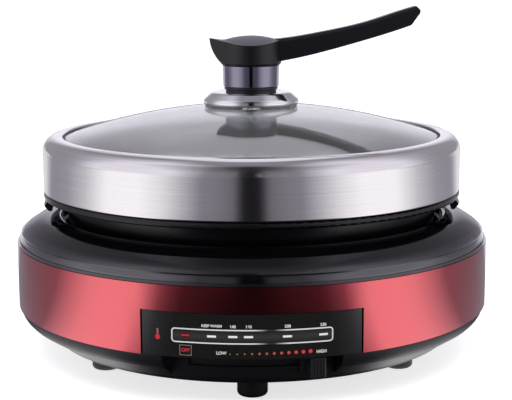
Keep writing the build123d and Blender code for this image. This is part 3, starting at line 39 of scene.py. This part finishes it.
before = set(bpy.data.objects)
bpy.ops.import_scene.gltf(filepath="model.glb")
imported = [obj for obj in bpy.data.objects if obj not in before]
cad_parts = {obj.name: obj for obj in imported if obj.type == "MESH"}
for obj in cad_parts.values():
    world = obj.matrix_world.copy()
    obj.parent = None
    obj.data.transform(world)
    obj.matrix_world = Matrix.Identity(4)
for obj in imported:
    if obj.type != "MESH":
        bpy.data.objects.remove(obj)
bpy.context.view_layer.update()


# ---- Lower housing, feet and side wall -----------------------------------------------------
# Injection-moulded black plastic, screwed together from below. The bottom shell has a finely
# grained finish, the feet are a softer, duller plastic, and the side wall is polished.
class Term:
    """One output of a material's nodes, so that shader maths reads like arithmetic."""

    def __init__(self, paint, socket):
        self.paint = paint
        self.socket = socket

    def math(self, operation, *values):
        return self.paint.node("Math", dict(enumerate(values)), operation=operation)

    def __add__(self, other):
        return self.math("ADD", self, other)

    def __sub__(self, other):
        return self.math("SUBTRACT", self, other)

    def __mul__(self, other):
        return self.math("MULTIPLY", self, other)

    def __truediv__(self, other):
        return self.math("DIVIDE", self, other)

    def __rtruediv__(self, other):
        return self.math("DIVIDE", other, self)

    def __radd__(self, other):
        return self.math("ADD", other, self)

    def __rsub__(self, other):
        return self.math("SUBTRACT", other, self)

    def __rmul__(self, other):
        return self.math("MULTIPLY", other, self)

    def __pow__(self, other):
        return self.math("POWER", self, other)

    def __lt__(self, other):
        return self.math("LESS_THAN", self, other)

    def __gt__(self, other):
        return self.math("GREATER_THAN", self, other)

    def __abs__(self):
        return self.math("ABSOLUTE", self)

    def either(self, other):
        return self.math("MAXIMUM", self, other)

    def sine(self):
        return self.math("SINE", self)

    def between(self, low, high):
        """From 0 at low to 1 at high, and no further."""
        return self.paint.node("MapRange", {"Value": self, "From Min": low, "From Max": high})


class Paint:
    """A new procedural material, read in object coordinates, with its Principled shader."""

    def __init__(self, name, colour, roughness, **settings):
        self.material = bpy.data.materials.new(name)
        self.material.use_nodes = True
        self.tree = self.material.node_tree
        self.shader = self.tree.nodes["Principled BSDF"]
        self.surface(Base_Color=colour, Roughness=roughness, **settings)

    def node(self, kind, inputs=None, output=0, **settings):
        node = self.tree.nodes.new("ShaderNode" + kind)
        for key, value in settings.items():
            setattr(node, key, value)
        for key, value in (inputs or {}).items():
            self.feed(node.inputs[key], value)
        return Term(self, node.outputs[output])

    def feed(self, socket, value):
        if isinstance(value, Term):
            self.tree.links.new(value.socket, socket)
        elif isinstance(value, tuple) and len(value) == 3 and len(socket.default_value) == 4:
            socket.default_value = (*value, 1.0)
        else:
            socket.default_value = value

    def surface(self, **inputs):
        for name, value in inputs.items():
            self.feed(self.shader.inputs[name.replace("_", " ")], value)

    def place(self):
        return self.node("TexCoord", output="Object")

    def axes(self):
        """X, Y and Z in metres."""
        split = self.node("SeparateXYZ", {"Vector": self.place()})
        outputs = split.socket.node.outputs
        return [Term(self, outputs[index]) for index in range(3)]

    def angle(self):
        """Radians from the front, towards +X."""
        x, y, _ = self.axes()
        return self.node("Math", {0: x, 1: 0.0 - y}, operation="ARCTAN2")

    def radius(self):
        x, y, _ = self.axes()
        return (x * x + y * y) ** 0.5

    def noise(self, size, stretch=(1.0, 1.0, 1.0), detail=3.0):
        """Cloudy variation whose features are about size metres across."""
        where = self.node("Mapping", {"Vector": self.place(), "Scale": stretch})
        return self.node("TexNoise", {"Vector": where, "Scale": 1.0 / size, "Detail": detail})

    def tint(self, share, first, second):
        """A colour between two."""
        return self.node("Mix", {0: share, 6: first, 7: second}, output=2, data_type="RGBA")

    def bump(self, height, depth, strength=1.0):
        """Relief of the given depth in metres."""
        bump = self.node("Bump", {"Height": height, "Distance": depth, "Strength": strength})
        self.surface(Normal=bump)

    def grain(self, size, depth, low, high):
        """Surface grain with smears of wear in the roughness."""
        self.bump(self.noise(size), depth)
        self.surface(Roughness=low + (high - low) * self.noise(0.03, detail=4.0))
        return self

    def on(self, *names):
        """Puts the material on CAD nodes or new pieces."""
        for name in names:
            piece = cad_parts.get(name) or bpy.data.objects[name]
            piece.data.materials.clear()
            piece.data.materials.append(self.material)
        return self


def srgb(red, green, blue):
    """A screen colour, 0 to 255, as the linear colour that the shaders take."""
    return tuple(
        c / 12.92 if c <= 0.04045 else ((c + 0.055) / 1.055) ** 2.4
        for c in (red / 255, green / 255, blue / 255)
    )


moulded = Paint("moulded_black", srgb(20, 19, 23), 0.36, Specular_IOR_Level=0.3)
moulded.grain(0.0006, 0.00001, 0.3, 0.44).on("lower_housing")

Paint("foot_plastic", srgb(15, 15, 16), 0.55).grain(0.0008, 0.00003, 0.45, 0.7).on("feet")

polished = Paint("polished_black", srgb(11, 11, 15), 0.1, Coat_Weight=1.0, Coat_Roughness=0.05)
polished.grain(0.012, 0.000012, 0.09, 0.18).on("side_wall", "inlet_frame")


# ---- Red band ------------------------------------------------------------------------------
# Steel sheet rolled into a hoop, sprayed with a metallic red and a clear coat, and clipped
# round the side wall.
red = Paint("metallic_red", srgb(211, 80, 90), 0.2, Metallic=1.0)
red.surface(Coat_Weight=1.0, Coat_IOR=1.6, Coat_Roughness=0.05)
flake = red.noise(0.00035, detail=1.0)
red.surface(
    Base_Color=red.tint(flake.between(0.35, 0.7), srgb(205, 72, 82), srgb(217, 88, 96)),
    Roughness=0.14 + 0.08 * red.noise(0.02, detail=4.0),
)
red.bump(red.noise(0.004, stretch=(1.0, 1.0, 0.4)), 0.000015)
red.on("red_band")


# ---- Upper housing -------------------------------------------------------------------------
# The domed top of the base, moulded in high-gloss black and lacquered. The clear lacquer has
# run down and gathered at the foot, which shines more, and leaves a faint orange peel.
LACQUER_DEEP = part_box("red_band")[1][2] + 0.006
LACQUER_THIN = LACQUER_DEEP + 0.007
dome = Paint("gloss_dome", srgb(6, 6, 9), 0.08, Specular_IOR_Level=0.2)
depth_share = 1.0 - dome.axes()[2].between(LACQUER_DEEP, LACQUER_THIN)
dome.surface(Coat_Weight=0.14 + 0.86 * depth_share, Coat_IOR=1.9)
dome.surface(Coat_Roughness=0.05, Coat_Tint=srgb(240, 232, 255))
dome.grain(0.009, 0.000008, 0.05, 0.12).on("upper_housing")


# ---- Control panel -------------------------------------------------------------------------
# A curved acrylic window, printed from behind: a silver frame with a mark for each setting, a
# row of dots that grow from LOW to HIGH, a thermometer, and plain words for the settings. The
# frame's line also carries a painted reflection, and the field inside it a painted highlight.

# Angles are degrees from the front. A print's size is half its width, half its height and the
# radius of its corners, and the sign's parts have their height above the floor first.
PANEL_RADIUS = 0.1901
FRAME_ANGLE = 17.0
FRAME_LOW, FRAME_HIGH = 0.0547, 0.0650
FRAME_CORNER = 0.0026
FRAME_LINE = 0.0009
PAINTED_REFLECTION_ANGLE = 3.9
PAINTED_REFLECTION_REACH = (0.7, 3.6)
MARK_HEIGHT = 0.0600
MARK_SIZE = (0.0031, 0.00075)
MARKS = (-8.4, -4.0, -0.77, 7.25, 14.87)
OFF_ANGLE = -13.95
OFF_HEIGHT = 0.0494
OFF_LENS = (0.0037, 0.0014, 0.0012)
OFF_MARK = (0.0029, 0.00045)
OFF_FRAME = (0.0043, 0.0037)
OFF_FIELD = (0.0039, 0.0033)
SIGN_ANGLE = -20.06
SIGN_GLASS = (0.0606, 0.0007, 0.0030, 0.0007)
SIGN_COLUMN = (0.0590, 0.0004, 0.0030)
SIGN_BULB = (0.0574, 0.0018)
DOT_COUNT = 12
DOT_ANGLES = (-4.6, 12.1)
DOT_HEIGHTS = (0.0478, 0.0487)
DOT_RADII = (0.00045, 0.00135)
DOT_RIM_RADII = (0.0008, 0.0021)
panel_black = srgb(26, 26, 25)
off_red = srgb(214, 40, 52)

panel = Paint("printed_window_and_painted_light", panel_black, 0.14, Coat_Weight=0.4, Coat_Roughness=0.03)
turn = panel.angle() * (180 / pi)
height = panel.axes()[2]


def printed(angle, middle, half_width, half_height, corner=0.0):
    """1 inside a rectangle printed on the panel, sizes in metres along it."""
    across = abs(turn - angle) * (pi / 180 * PANEL_RADIUS) - (half_width - corner)
    up = abs(height - middle) - (half_height - corner)
    if corner:
        across, up = across.either(0.0), up.either(0.0)
        return (across * across + up * up) ** 0.5 < corner
    return across.either(up) < 0.0


def printed_dot(angle, middle, radius):
    along = (turn - angle) * (pi / 180 * PANEL_RADIUS)
    up = height - middle
    return (along * along + up * up) ** 0.5 < radius


def step_between(ends, share):
    return ends[0] + (ends[1] - ends[0]) * share


# Painted reflection: the frame's silver line is painted dark just right of its middle, as a mirror
# there would show the dark front, and light towards its ends. Painted highlight: the field inside
# it is painted lighter along its middle height.
frame_middle = (FRAME_LOW + FRAME_HIGH) / 2
frame_half_width = radians(FRAME_ANGLE) * PANEL_RADIUS
frame_half_height = (FRAME_HIGH - FRAME_LOW) / 2
outline = printed(0.0, frame_middle, frame_half_width, frame_half_height, FRAME_CORNER)
field = printed(
    0.0, frame_middle, frame_half_width - FRAME_LINE, frame_half_height - FRAME_LINE,
    FRAME_CORNER - FRAME_LINE,
)
# Painted reflection: the silver line is painted darkest at this angle and light beyond the reach.
painted_reflection_fade = abs(turn - PAINTED_REFLECTION_ANGLE).between(*PAINTED_REFLECTION_REACH)
silver_and_painted_reflection = panel.tint(painted_reflection_fade, srgb(52, 52, 52), srgb(228, 228, 226))
# Painted highlight: the dark field is painted lighter along its middle height.
painted_centre_highlight = 1.0 - abs(height - frame_middle) / frame_half_height
prints = [
    (outline, silver_and_painted_reflection),
    (field, panel.tint(painted_centre_highlight, srgb(30, 30, 29), srgb(56, 56, 55))),
]
prints += [(printed(angle, MARK_HEIGHT, *MARK_SIZE), srgb(240, 240, 238)) for angle in MARKS]
# OFF has a red mark in a dark lens, and a framed square for its word.
prints += [
    (printed(OFF_ANGLE, MARK_HEIGHT, *OFF_LENS), srgb(96, 12, 18)),
    (printed(OFF_ANGLE, MARK_HEIGHT, *OFF_MARK), srgb(206, 58, 66)),
    (printed(OFF_ANGLE, OFF_HEIGHT, *OFF_FRAME), srgb(146, 130, 118)),
    (printed(OFF_ANGLE, OFF_HEIGHT, *OFF_FIELD), srgb(30, 27, 26)),
]
for index in range(DOT_COUNT):
    share = index / (DOT_COUNT - 1)
    place = (step_between(DOT_ANGLES, share), step_between(DOT_HEIGHTS, share))
    rim = printed_dot(*place, step_between(DOT_RIM_RADII, share))
    dot = printed_dot(*place, step_between(DOT_RADII, share))
    prints += [(rim, srgb(58, 30 - 22 * share, 14))]
    prints += [(dot, srgb(130 + 88 * share, 120 - 54 * share, 80 - 6 * share))]
# A thermometer stands for the heat setting: its glass, its red column and its bulb.
prints += [
    (printed(SIGN_ANGLE, *SIGN_GLASS), srgb(118, 112, 112)),
    (printed(SIGN_ANGLE, *SIGN_COLUMN), off_red),
    (printed_dot(SIGN_ANGLE, *SIGN_BULB), off_red),
]
colour = panel_black
for mask, ink_colour in prints:
    colour = panel.tint(mask, colour, ink_colour)
panel.surface(Base_Color=colour, Roughness=0.1 + 0.12 * panel.noise(0.02, detail=5.0))
panel.bump(panel.noise(0.006), 0.00001)
panel.on("control_panel")


INK_PROUD = 0.00006
INK_SPREAD = 0.00008
INK_THICKNESS = 0.00003
CAPITAL_SHARE = 0.7


def word(text, angle, middle, tall, name):
    """A printed word whose capitals are tall metres high, lying a hair proud of the panel."""
    turned = radians(angle)
    out = PANEL_RADIUS + INK_PROUD
    bpy.ops.object.text_add(
        location=(out * sin(turned), -out * cos(turned), middle), rotation=(pi / 2, 0.0, turned)
    )
    letters = bpy.context.object
    letters.data.body = text
    letters.data.align_x = "CENTER"
    letters.data.align_y = "CENTER"
    letters.data.size = tall / CAPITAL_SHARE
    letters.data.offset = INK_SPREAD
    letters.data.extrude = INK_THICKNESS
    bpy.ops.object.convert(target="MESH")
    bpy.ops.object.transform_apply(location=True, rotation=True, scale=True)
    letters.name = name
    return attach(letters, "base")


ink = Paint("white_ink", srgb(226, 225, 222), 0.5).grain(0.0003, 0.000004, 0.4, 0.6)
for text, angle, middle, tall, name in (
    ("KEEP WARM", -8.35, 0.0673, 0.0018, "print_keep_warm"),
    ("140", -4.0, 0.0671, 0.0020, "print_140"),
    ("160", -0.77, 0.0671, 0.0020, "print_160"),
    ("200", 7.3, 0.0671, 0.0020, "print_200"),
    ("230", 14.8, 0.0669, 0.0020, "print_230"),
    ("LOW", -6.4, 0.0484, 0.0021, "print_low"),
    ("HIGH", 14.45, 0.0480, 0.0021, "print_high"),
):
    word(text, angle, middle, tall, name)
    ink.on(name)
word("OFF", OFF_ANGLE, OFF_HEIGHT, 0.0024, "print_off")
Paint("red_ink", off_red, 0.5).grain(0.0003, 0.000004, 0.4, 0.6).on("print_off")


# ---- Slider, lamp, inlet and screws --------------------------------------------------------
# The lever is matte moulded plastic, and the carriage and the lamp's clip behind it are nylon.
# The inlet is compression-moulded round brass blades. The screws, the heater's spacers and the
# thermostat's case are zinc-plated steel, apart from the pan grips' blackened screws.
lever = Paint("lever_plastic", srgb(27, 27, 29), 0.38)
lever.grain(0.0007, 0.00003, 0.3, 0.5).on("slider_lever")
nylon_black = Paint("black_nylon", srgb(20, 20, 21), 0.5)
nylon_black.grain(0.001, 0.00003, 0.4, 0.6).on("slider_carriage", "lamp_holder")
lens = Paint("lamp_lens", srgb(190, 32, 24), 0.2, Transmission_Weight=0.4)
lens.grain(0.001, 0.00001, 0.15, 0.3).on("indicator_lamp")
Paint("phenolic", srgb(33, 31, 30), 0.45).grain(0.0009, 0.00003, 0.35, 0.55).on("inlet_socket")

brass = Paint("brass", srgb(196, 158, 92), 0.3, Metallic=1.0)
brass.surface(Base_Color=brass.tint(brass.noise(0.004), srgb(170, 128, 66), srgb(206, 172, 108)))
brass.grain(0.0012, 0.00001, 0.22, 0.42).on("inlet_pins", "sensor_guide")

black_oxide = Paint("black_oxide", srgb(24, 24, 26), 0.4, Metallic=0.6)
black_oxide.grain(0.0008, 0.00002, 0.3, 0.5).on("grip_screws")

zinc = Paint("zinc_plate", srgb(176, 176, 172), 0.35, Metallic=1.0)
zinc.surface(Base_Color=zinc.tint(zinc.noise(0.003), srgb(150, 151, 150), srgb(192, 190, 180)))
zinc.grain(0.0008, 0.00002, 0.28, 0.5).on(
    "foot_screws", "housing_screws", "inlet_screws", "liner_screws", "heater_screws", "heater_spacers",
    "thermostat_screws", "knob_washer", "knob_screw", "thermostat_body", "thermostat_spindle",
)


# ---- Heater --------------------------------------------------------------------------------
# Aluminised steel liner and shield with a crystalline spangle, a cast plate turned flat on a
# lathe, the oxidised sheathed element in its groove, and the sprung aluminium sensor cap.
liner = Paint("aluminised_steel", srgb(182, 182, 180), 0.4, Metallic=1.0)
spangle = liner.node("TexVoronoi", {"Vector": liner.place(), "Scale": 160.0}, output="Color")
spangle_tone = liner.node("SeparateColor", {"Color": spangle})
liner.surface(
    Base_Color=liner.tint(spangle_tone, srgb(160, 161, 162), srgb(196, 196, 194)),
    Roughness=0.3 + 0.2 * spangle_tone,
)
liner.bump(liner.noise(0.01), 0.00008)
liner.on("well_liner", "heat_shield")

TOOL_FEED = 0.0006
turned_plate = Paint("turned_aluminium", srgb(190, 190, 190), 0.35, Metallic=1.0)
tool_marks = (turned_plate.radius() * (2 * pi / TOOL_FEED)).sine()
turned_plate.bump(tool_marks, 0.000012)
turned_plate.surface(Roughness=0.28 + 0.16 * turned_plate.noise(0.03, detail=4.0))
turned_plate.on("heater_plate", "sensor_cap")

oxide = Paint("oxidised_sheath", srgb(88, 82, 78), 0.55, Metallic=0.7)
oxide.surface(Base_Color=oxide.tint(oxide.noise(0.006), srgb(62, 56, 54), srgb(116, 100, 90)))
oxide.grain(0.0008, 0.00003, 0.45, 0.7).on("heating_element")

spring_steel = Paint("spring_steel", srgb(122, 122, 126), 0.3, Metallic=1.0)
spring_steel.grain(0.0005, 0.00001, 0.22, 0.4).on("sensor_clip", "sensor_spring")
copper = Paint("copper", srgb(190, 112, 82), 0.35, Metallic=1.0)
copper.surface(Base_Color=copper.tint(copper.noise(0.005), srgb(150, 82, 60), srgb(204, 132, 98)))
copper.grain(0.0006, 0.00001, 0.28, 0.45).on("sensor_bulb", "capillary_tube")
Paint("nylon", srgb(226, 222, 206), 0.5).grain(0.001, 0.00002, 0.4, 0.6).on("drive_pinion")

WEAVE = 9000.0
sleeve = Paint("glass_sleeve", srgb(214, 208, 194), 0.8)
weave = (sleeve.axes()[0] * WEAVE).sine() * (sleeve.axes()[1] * WEAVE).sine()
sleeve.bump(weave, 0.00005)
sleeve.on("lead_wires")
Paint("steatite", srgb(228, 222, 208), 0.6).grain(0.0006, 0.00002, 0.5, 0.7).on("thermal_fuse")

# The spring is squeezed between the sensor's cap and guide; a merged copy of it stands in for it on the
# base.
bpy.ops.object.select_all(action="DESELECT")
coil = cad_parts["sensor_spring"].copy()
coil.data = coil.data.copy()
coil.name = "sensor_spring_coil"
bpy.context.scene.collection.objects.link(coil)
coil.select_set(True)
bpy.context.view_layer.objects.active = coil
bpy.ops.object.mode_set(mode="EDIT")
bpy.ops.mesh.select_all(action="SELECT")
bpy.ops.mesh.remove_doubles(threshold=0.000001)
bpy.ops.object.mode_set(mode="OBJECT")
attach(coil, "base")
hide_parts("sensor_spring")
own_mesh(coil)


# ---- Pan -----------------------------------------------------------------------------------
# Die-cast aluminium, sprayed inside and out with a black non-stick coating. The cured coat is
# fairly glossy and carries tiny specks. The finger grips are moulded, screwed under the rim.
coating = Paint("non_stick", srgb(12, 12, 15), 0.24, Specular_IOR_Level=0.35)
specks = coating.node("TexVoronoi", {"Vector": coating.place(), "Scale": 520.0})
coating.surface(
    Base_Color=coating.tint(specks < 0.1, srgb(11, 11, 14), srgb(52, 52, 56)),
    Roughness=0.2 + 0.1 * coating.noise(0.02, detail=4.0),
)
coating.bump(coating.noise(0.0015), 0.00003)
coating.on("pan")
grip = Paint("grip_plastic", srgb(14, 14, 17), 0.3, Specular_IOR_Level=0.35)
grip.grain(0.0008, 0.00001, 0.18, 0.3).on("pan_grip_left", "pan_grip_right")


# ---- Lid -----------------------------------------------------------------------------------
# A spun stainless ring, brushed round its length on a lathe, with a silicone channel that
# holds the tempered glass dome.

# The brushing has few streaks to a radian round the ring, and thousands to a metre across it.
BRUSH_ROUND = 1.5
BRUSH_ACROSS = 5200.0
LATHE_LINES = 30000.0
steel = Paint("brushed_steel", srgb(221, 218, 219), 0.16, Metallic=1.0, Anisotropic=0.4)
streaks = steel.noise(0.0012, stretch=(0.02, 0.02, 1.0), detail=4.0)
lathe_lines = (steel.radius() * LATHE_LINES).sine() * 0.2
round_the_ring = steel.node(
    "CombineXYZ",
    {
        0: steel.angle() * BRUSH_ROUND,
        1: steel.axes()[2] * BRUSH_ACROSS,
        2: steel.radius() * BRUSH_ACROSS,
    },
)
brushing = steel.node("TexNoise", {"Vector": round_the_ring, "Scale": 1.0, "Detail": 5.0})
steel.surface(
    Base_Color=steel.tint(brushing.between(0.3, 0.7), srgb(212, 209, 210), srgb(228, 226, 227)),
    Roughness=0.06 + 0.08 * brushing + 0.03 * streaks,
)
steel.bump(brushing + lathe_lines, 0.000006)
steel.on("lid_ring")

rubber = Paint("silicone", srgb(16, 16, 17), 0.55)
rubber.grain(0.001, 0.00002, 0.45, 0.65).on("lid_seal", "knob_gasket")

glass = Paint("tempered_glass", (0.93, 0.96, 0.95), 0.02, Transmission_Weight=0.95, IOR=1.5)
glass.surface(Roughness=0.03 + 0.05 * glass.noise(0.05, detail=5.0))
glass.bump(glass.noise(0.03, detail=1.0), 0.00003)
glass.on("lid_glass")


# ---- Lid handle ----------------------------------------------------------------------------
# Chromed pressed cup, glossy phenolic stem, and a soft matte lever moulding with a satin grey
# cap pressed into its top.
chrome = Paint("chrome", srgb(226, 226, 228), 0.06, Metallic=1.0)
chrome.grain(0.004, 0.000008, 0.04, 0.12).on("knob_plate")
Paint("spacer_plastic", srgb(14, 14, 16), 0.4).grain(0.001, 0.00001, 0.3, 0.5).on("knob_spacer")
stem = Paint("stem_gloss", srgb(118, 113, 132), 0.08, Metallic=1.0, Coat_Weight=1.0, Coat_Roughness=0.04)
stem.grain(0.006, 0.000004, 0.05, 0.1).on("knob_stem")
soft = Paint("soft_matte", srgb(13, 12, 17), 0.36, Specular_IOR_Level=0.4)
soft.grain(0.0006, 0.00001, 0.3, 0.42).on("lid_handle")
cap = Paint("satin_cap", srgb(84, 83, 90), 0.42, Specular_IOR_Level=0.3)
cap.grain(0.0005, 0.00002, 0.34, 0.5).on("knob_cap")


# ---- Studio --------------------------------------------------------------------------------
# A white floor under a soft sky, which the camera sees white. A toned card lies on the floor,
# and only the pot's gloss sees it, so metal and lacquer shade evenly from bright to black.
class Sky(Paint):
    """The world's nodes, with the same shader maths as the paints."""

    def __init__(self, name):
        self.world = bpy.data.worlds.new(name)
        self.world.use_nodes = True
        self.tree = self.world.node_tree
        self.shader = self.tree.nodes["Background"]

    def place(self):
        return self.node("TexCoord", output="Generated")

    def rise(self):
        """Degrees above the horizon."""
        return self.node("Math", {0: self.axes()[2]}, operation="ARCSINE") * (180 / pi)


def staged(name, paint, reach, back, height=0.0):
    """A level sheet that reaches as far to the front as to each side."""
    corners = [
        (-reach, -reach, height), (reach, -reach, height), (reach, back, height), (-reach, back, height),
    ]
    mesh = bpy.data.meshes.new(name)
    mesh.from_pydata(corners, [], [(0, 1, 2, 3)])
    sheet = bpy.data.objects.new(name, mesh)
    bpy.context.scene.collection.objects.link(sheet)
    paint.on(name)
    return sheet


def from_front(paint):
    """Degrees round from the front, to either side."""
    return abs(paint.angle()) * (180 / pi)


def stepped(angle, start, *steps):
    """A tone that changes by an amount between each pair of angles."""
    tone = start
    for low, high, change in steps:
        tone = tone + change * angle.between(low, high)
    return tone


# The floor glows for whatever looks straight at it, and keeps the pot's soft shadow.
FLOOR_GLOW = 0.72
black = (0.0, 0.0, 0.0)
white = (1.0, 1.0, 1.0)
pale = Paint("pale_floor", (0.86, 0.86, 0.86), 0.9, Emission_Strength=1.0, Specular_IOR_Level=0.0)
straight = pale.node("LightPath", output="Is Camera Ray")
for ray in ("Is Glossy Ray", "Is Transmission Ray"):
    straight = straight.either(pale.node("LightPath", output=ray))
pale.surface(
    Base_Color=pale.tint(pale.noise(0.3), (0.85, 0.85, 0.85), (0.87, 0.87, 0.87)),
    Emission_Color=pale.tint(straight * FLOOR_GLOW, black, white),
)
staged("floor", pale, reach=30.0, back=40.0)

# Going round from the front, the card is black, white, grey, white and black again. Its tones
# change more gently further out, and its greys are faintly lilac. Angles are in degrees.
CARD_HEIGHT = 0.0006
CARD_NEAR, CARD_FAR = 0.62, 0.82
GREY_TONE, WHITE_TONE = 0.4, 1.3
card = Paint("floor_card", black, 0.9, Emission_Strength=1.0, Specular_IOR_Level=0.0)
card_angle = from_front(card)
far_tone = stepped(
    card_angle, 0.01, (4.5, 9.0, 0.2), (9.0, 20.0, 0.07), (24.0, 44.0, 0.72), (44.0, 56.0, 0.26),
    (76.0, 92.0, -0.55), (92.0, 108.0, -0.3), (108.0, 122.0, -0.06), (130.0, 142.0, 0.5),
    (154.0, 172.0, -0.75),
)
near_tone = stepped(
    card_angle, 0.012, (8.0, 22.0, 0.02), (27.0, 36.0, 0.2), (35.0, 45.0, 1.07), (58.0, 66.0, -0.12),
    (66.0, 86.0, -0.9), (86.0, 110.0, -0.04), (130.0, 142.0, 0.8), (152.0, 170.0, -0.95),
)
card_tone = near_tone + card.radius().between(CARD_NEAR, CARD_FAR) * (far_tone - near_tone)
grey = card.tint(card_tone.between(0.0, GREY_TONE), black, (0.39, 0.37, 0.43))
card.surface(Emission_Color=card.tint(card_tone.between(GREY_TONE, WHITE_TONE), grey, (1.3, 1.28, 1.3)))
sheet = staged("floor_card_sheet", card, reach=29.0, back=29.0, height=CARD_HEIGHT)
sheet.visible_camera = False
sheet.visible_diffuse = False
sheet.visible_transmission = False
sheet.visible_shadow = False

# The sky carries the card's tones on up: black in front, bright to the sides and grey behind
# them, with a broad soft light straight behind the pot that dips a little between 12 and 34
# degrees up. It is dim overhead.
BEHIND_TONE = 1.15
BEHIND_DIP = 0.3
OVERHEAD_TONE = 0.3
sky = Sky("studio")
rise = sky.rise()
sky_angle = from_front(sky)
low_tone = stepped(
    sky_angle, 0.01, (4.5, 9.0, 0.2), (9.0, 20.0, 0.07), (24.0, 44.0, 0.72), (44.0, 56.0, 0.3),
    (76.0, 92.0, -0.35), (92.0, 108.0, -0.5), (108.0, 122.0, -0.1),
)
high_tone = stepped(
    sky_angle, 0.03, (5.0, 30.0, 0.2), (30.0, 56.0, 0.42), (56.0, 84.0, 0.3), (92.0, 130.0, -0.45),
    (130.0, 150.0, -0.2),
)
tone = low_tone + rise.between(20.0, 50.0) * (high_tone - low_tone)
dip = BEHIND_DIP * rise.between(12.0, 20.0) * (1.0 - rise.between(24.0, 34.0))
tone = tone + sky_angle.between(158.0, 171.0) * (BEHIND_TONE - dip - tone)
tone = tone + rise.between(64.0, 76.0) * (OVERHEAD_TONE - tone)
seen = sky.node("LightPath", output="Is Camera Ray")
tone = tone + seen * (1.0 - tone)
sky.surface(Color=sky.tint(tone, black, sky.tint(seen, (1.0, 0.96, 1.07), white)), Strength=1.0)
bpy.context.scene.world = sky.world

# One soft box in front and above lights the dull black pieces. No reflection shows it.
lamp_place = Vector((0.0, -1.7, 1.9))
lamp_aim = Vector((0.0, 0.0, 0.12))
lamp = bpy.data.lights.new("front_box", "AREA")
lamp.shape = "RECTANGLE"
lamp.size = 1.6
lamp.size_y = 0.8
lamp.energy = 30.0
front_box = bpy.data.objects.new("front_box", lamp)
bpy.context.scene.collection.objects.link(front_box)
front_box.location = lamp_place
front_box.rotation_euler = (lamp_aim - lamp_place).to_track_quat("-Z", "Y").to_euler()
front_box.visible_glossy = False

camera = bpy.data.objects.new("camera", bpy.data.cameras.new("camera"))
bpy.context.scene.collection.objects.link(camera)
camera.location = (0.0, -1.0, 0.2965)
camera.rotation_mode = "ZYX"
camera.rotation_euler = (radians(80.05), 0.0, radians(-0.28))
camera.data.lens = 86.82
camera.data.sensor_width = 36.0
camera.data.shift_x = 0.0086
camera.data.shift_y = 0.0004
camera.data.clip_end = 100.0
bpy.context.scene.camera = camera
bpy.context.scene.view_settings.view_transform = "Standard"
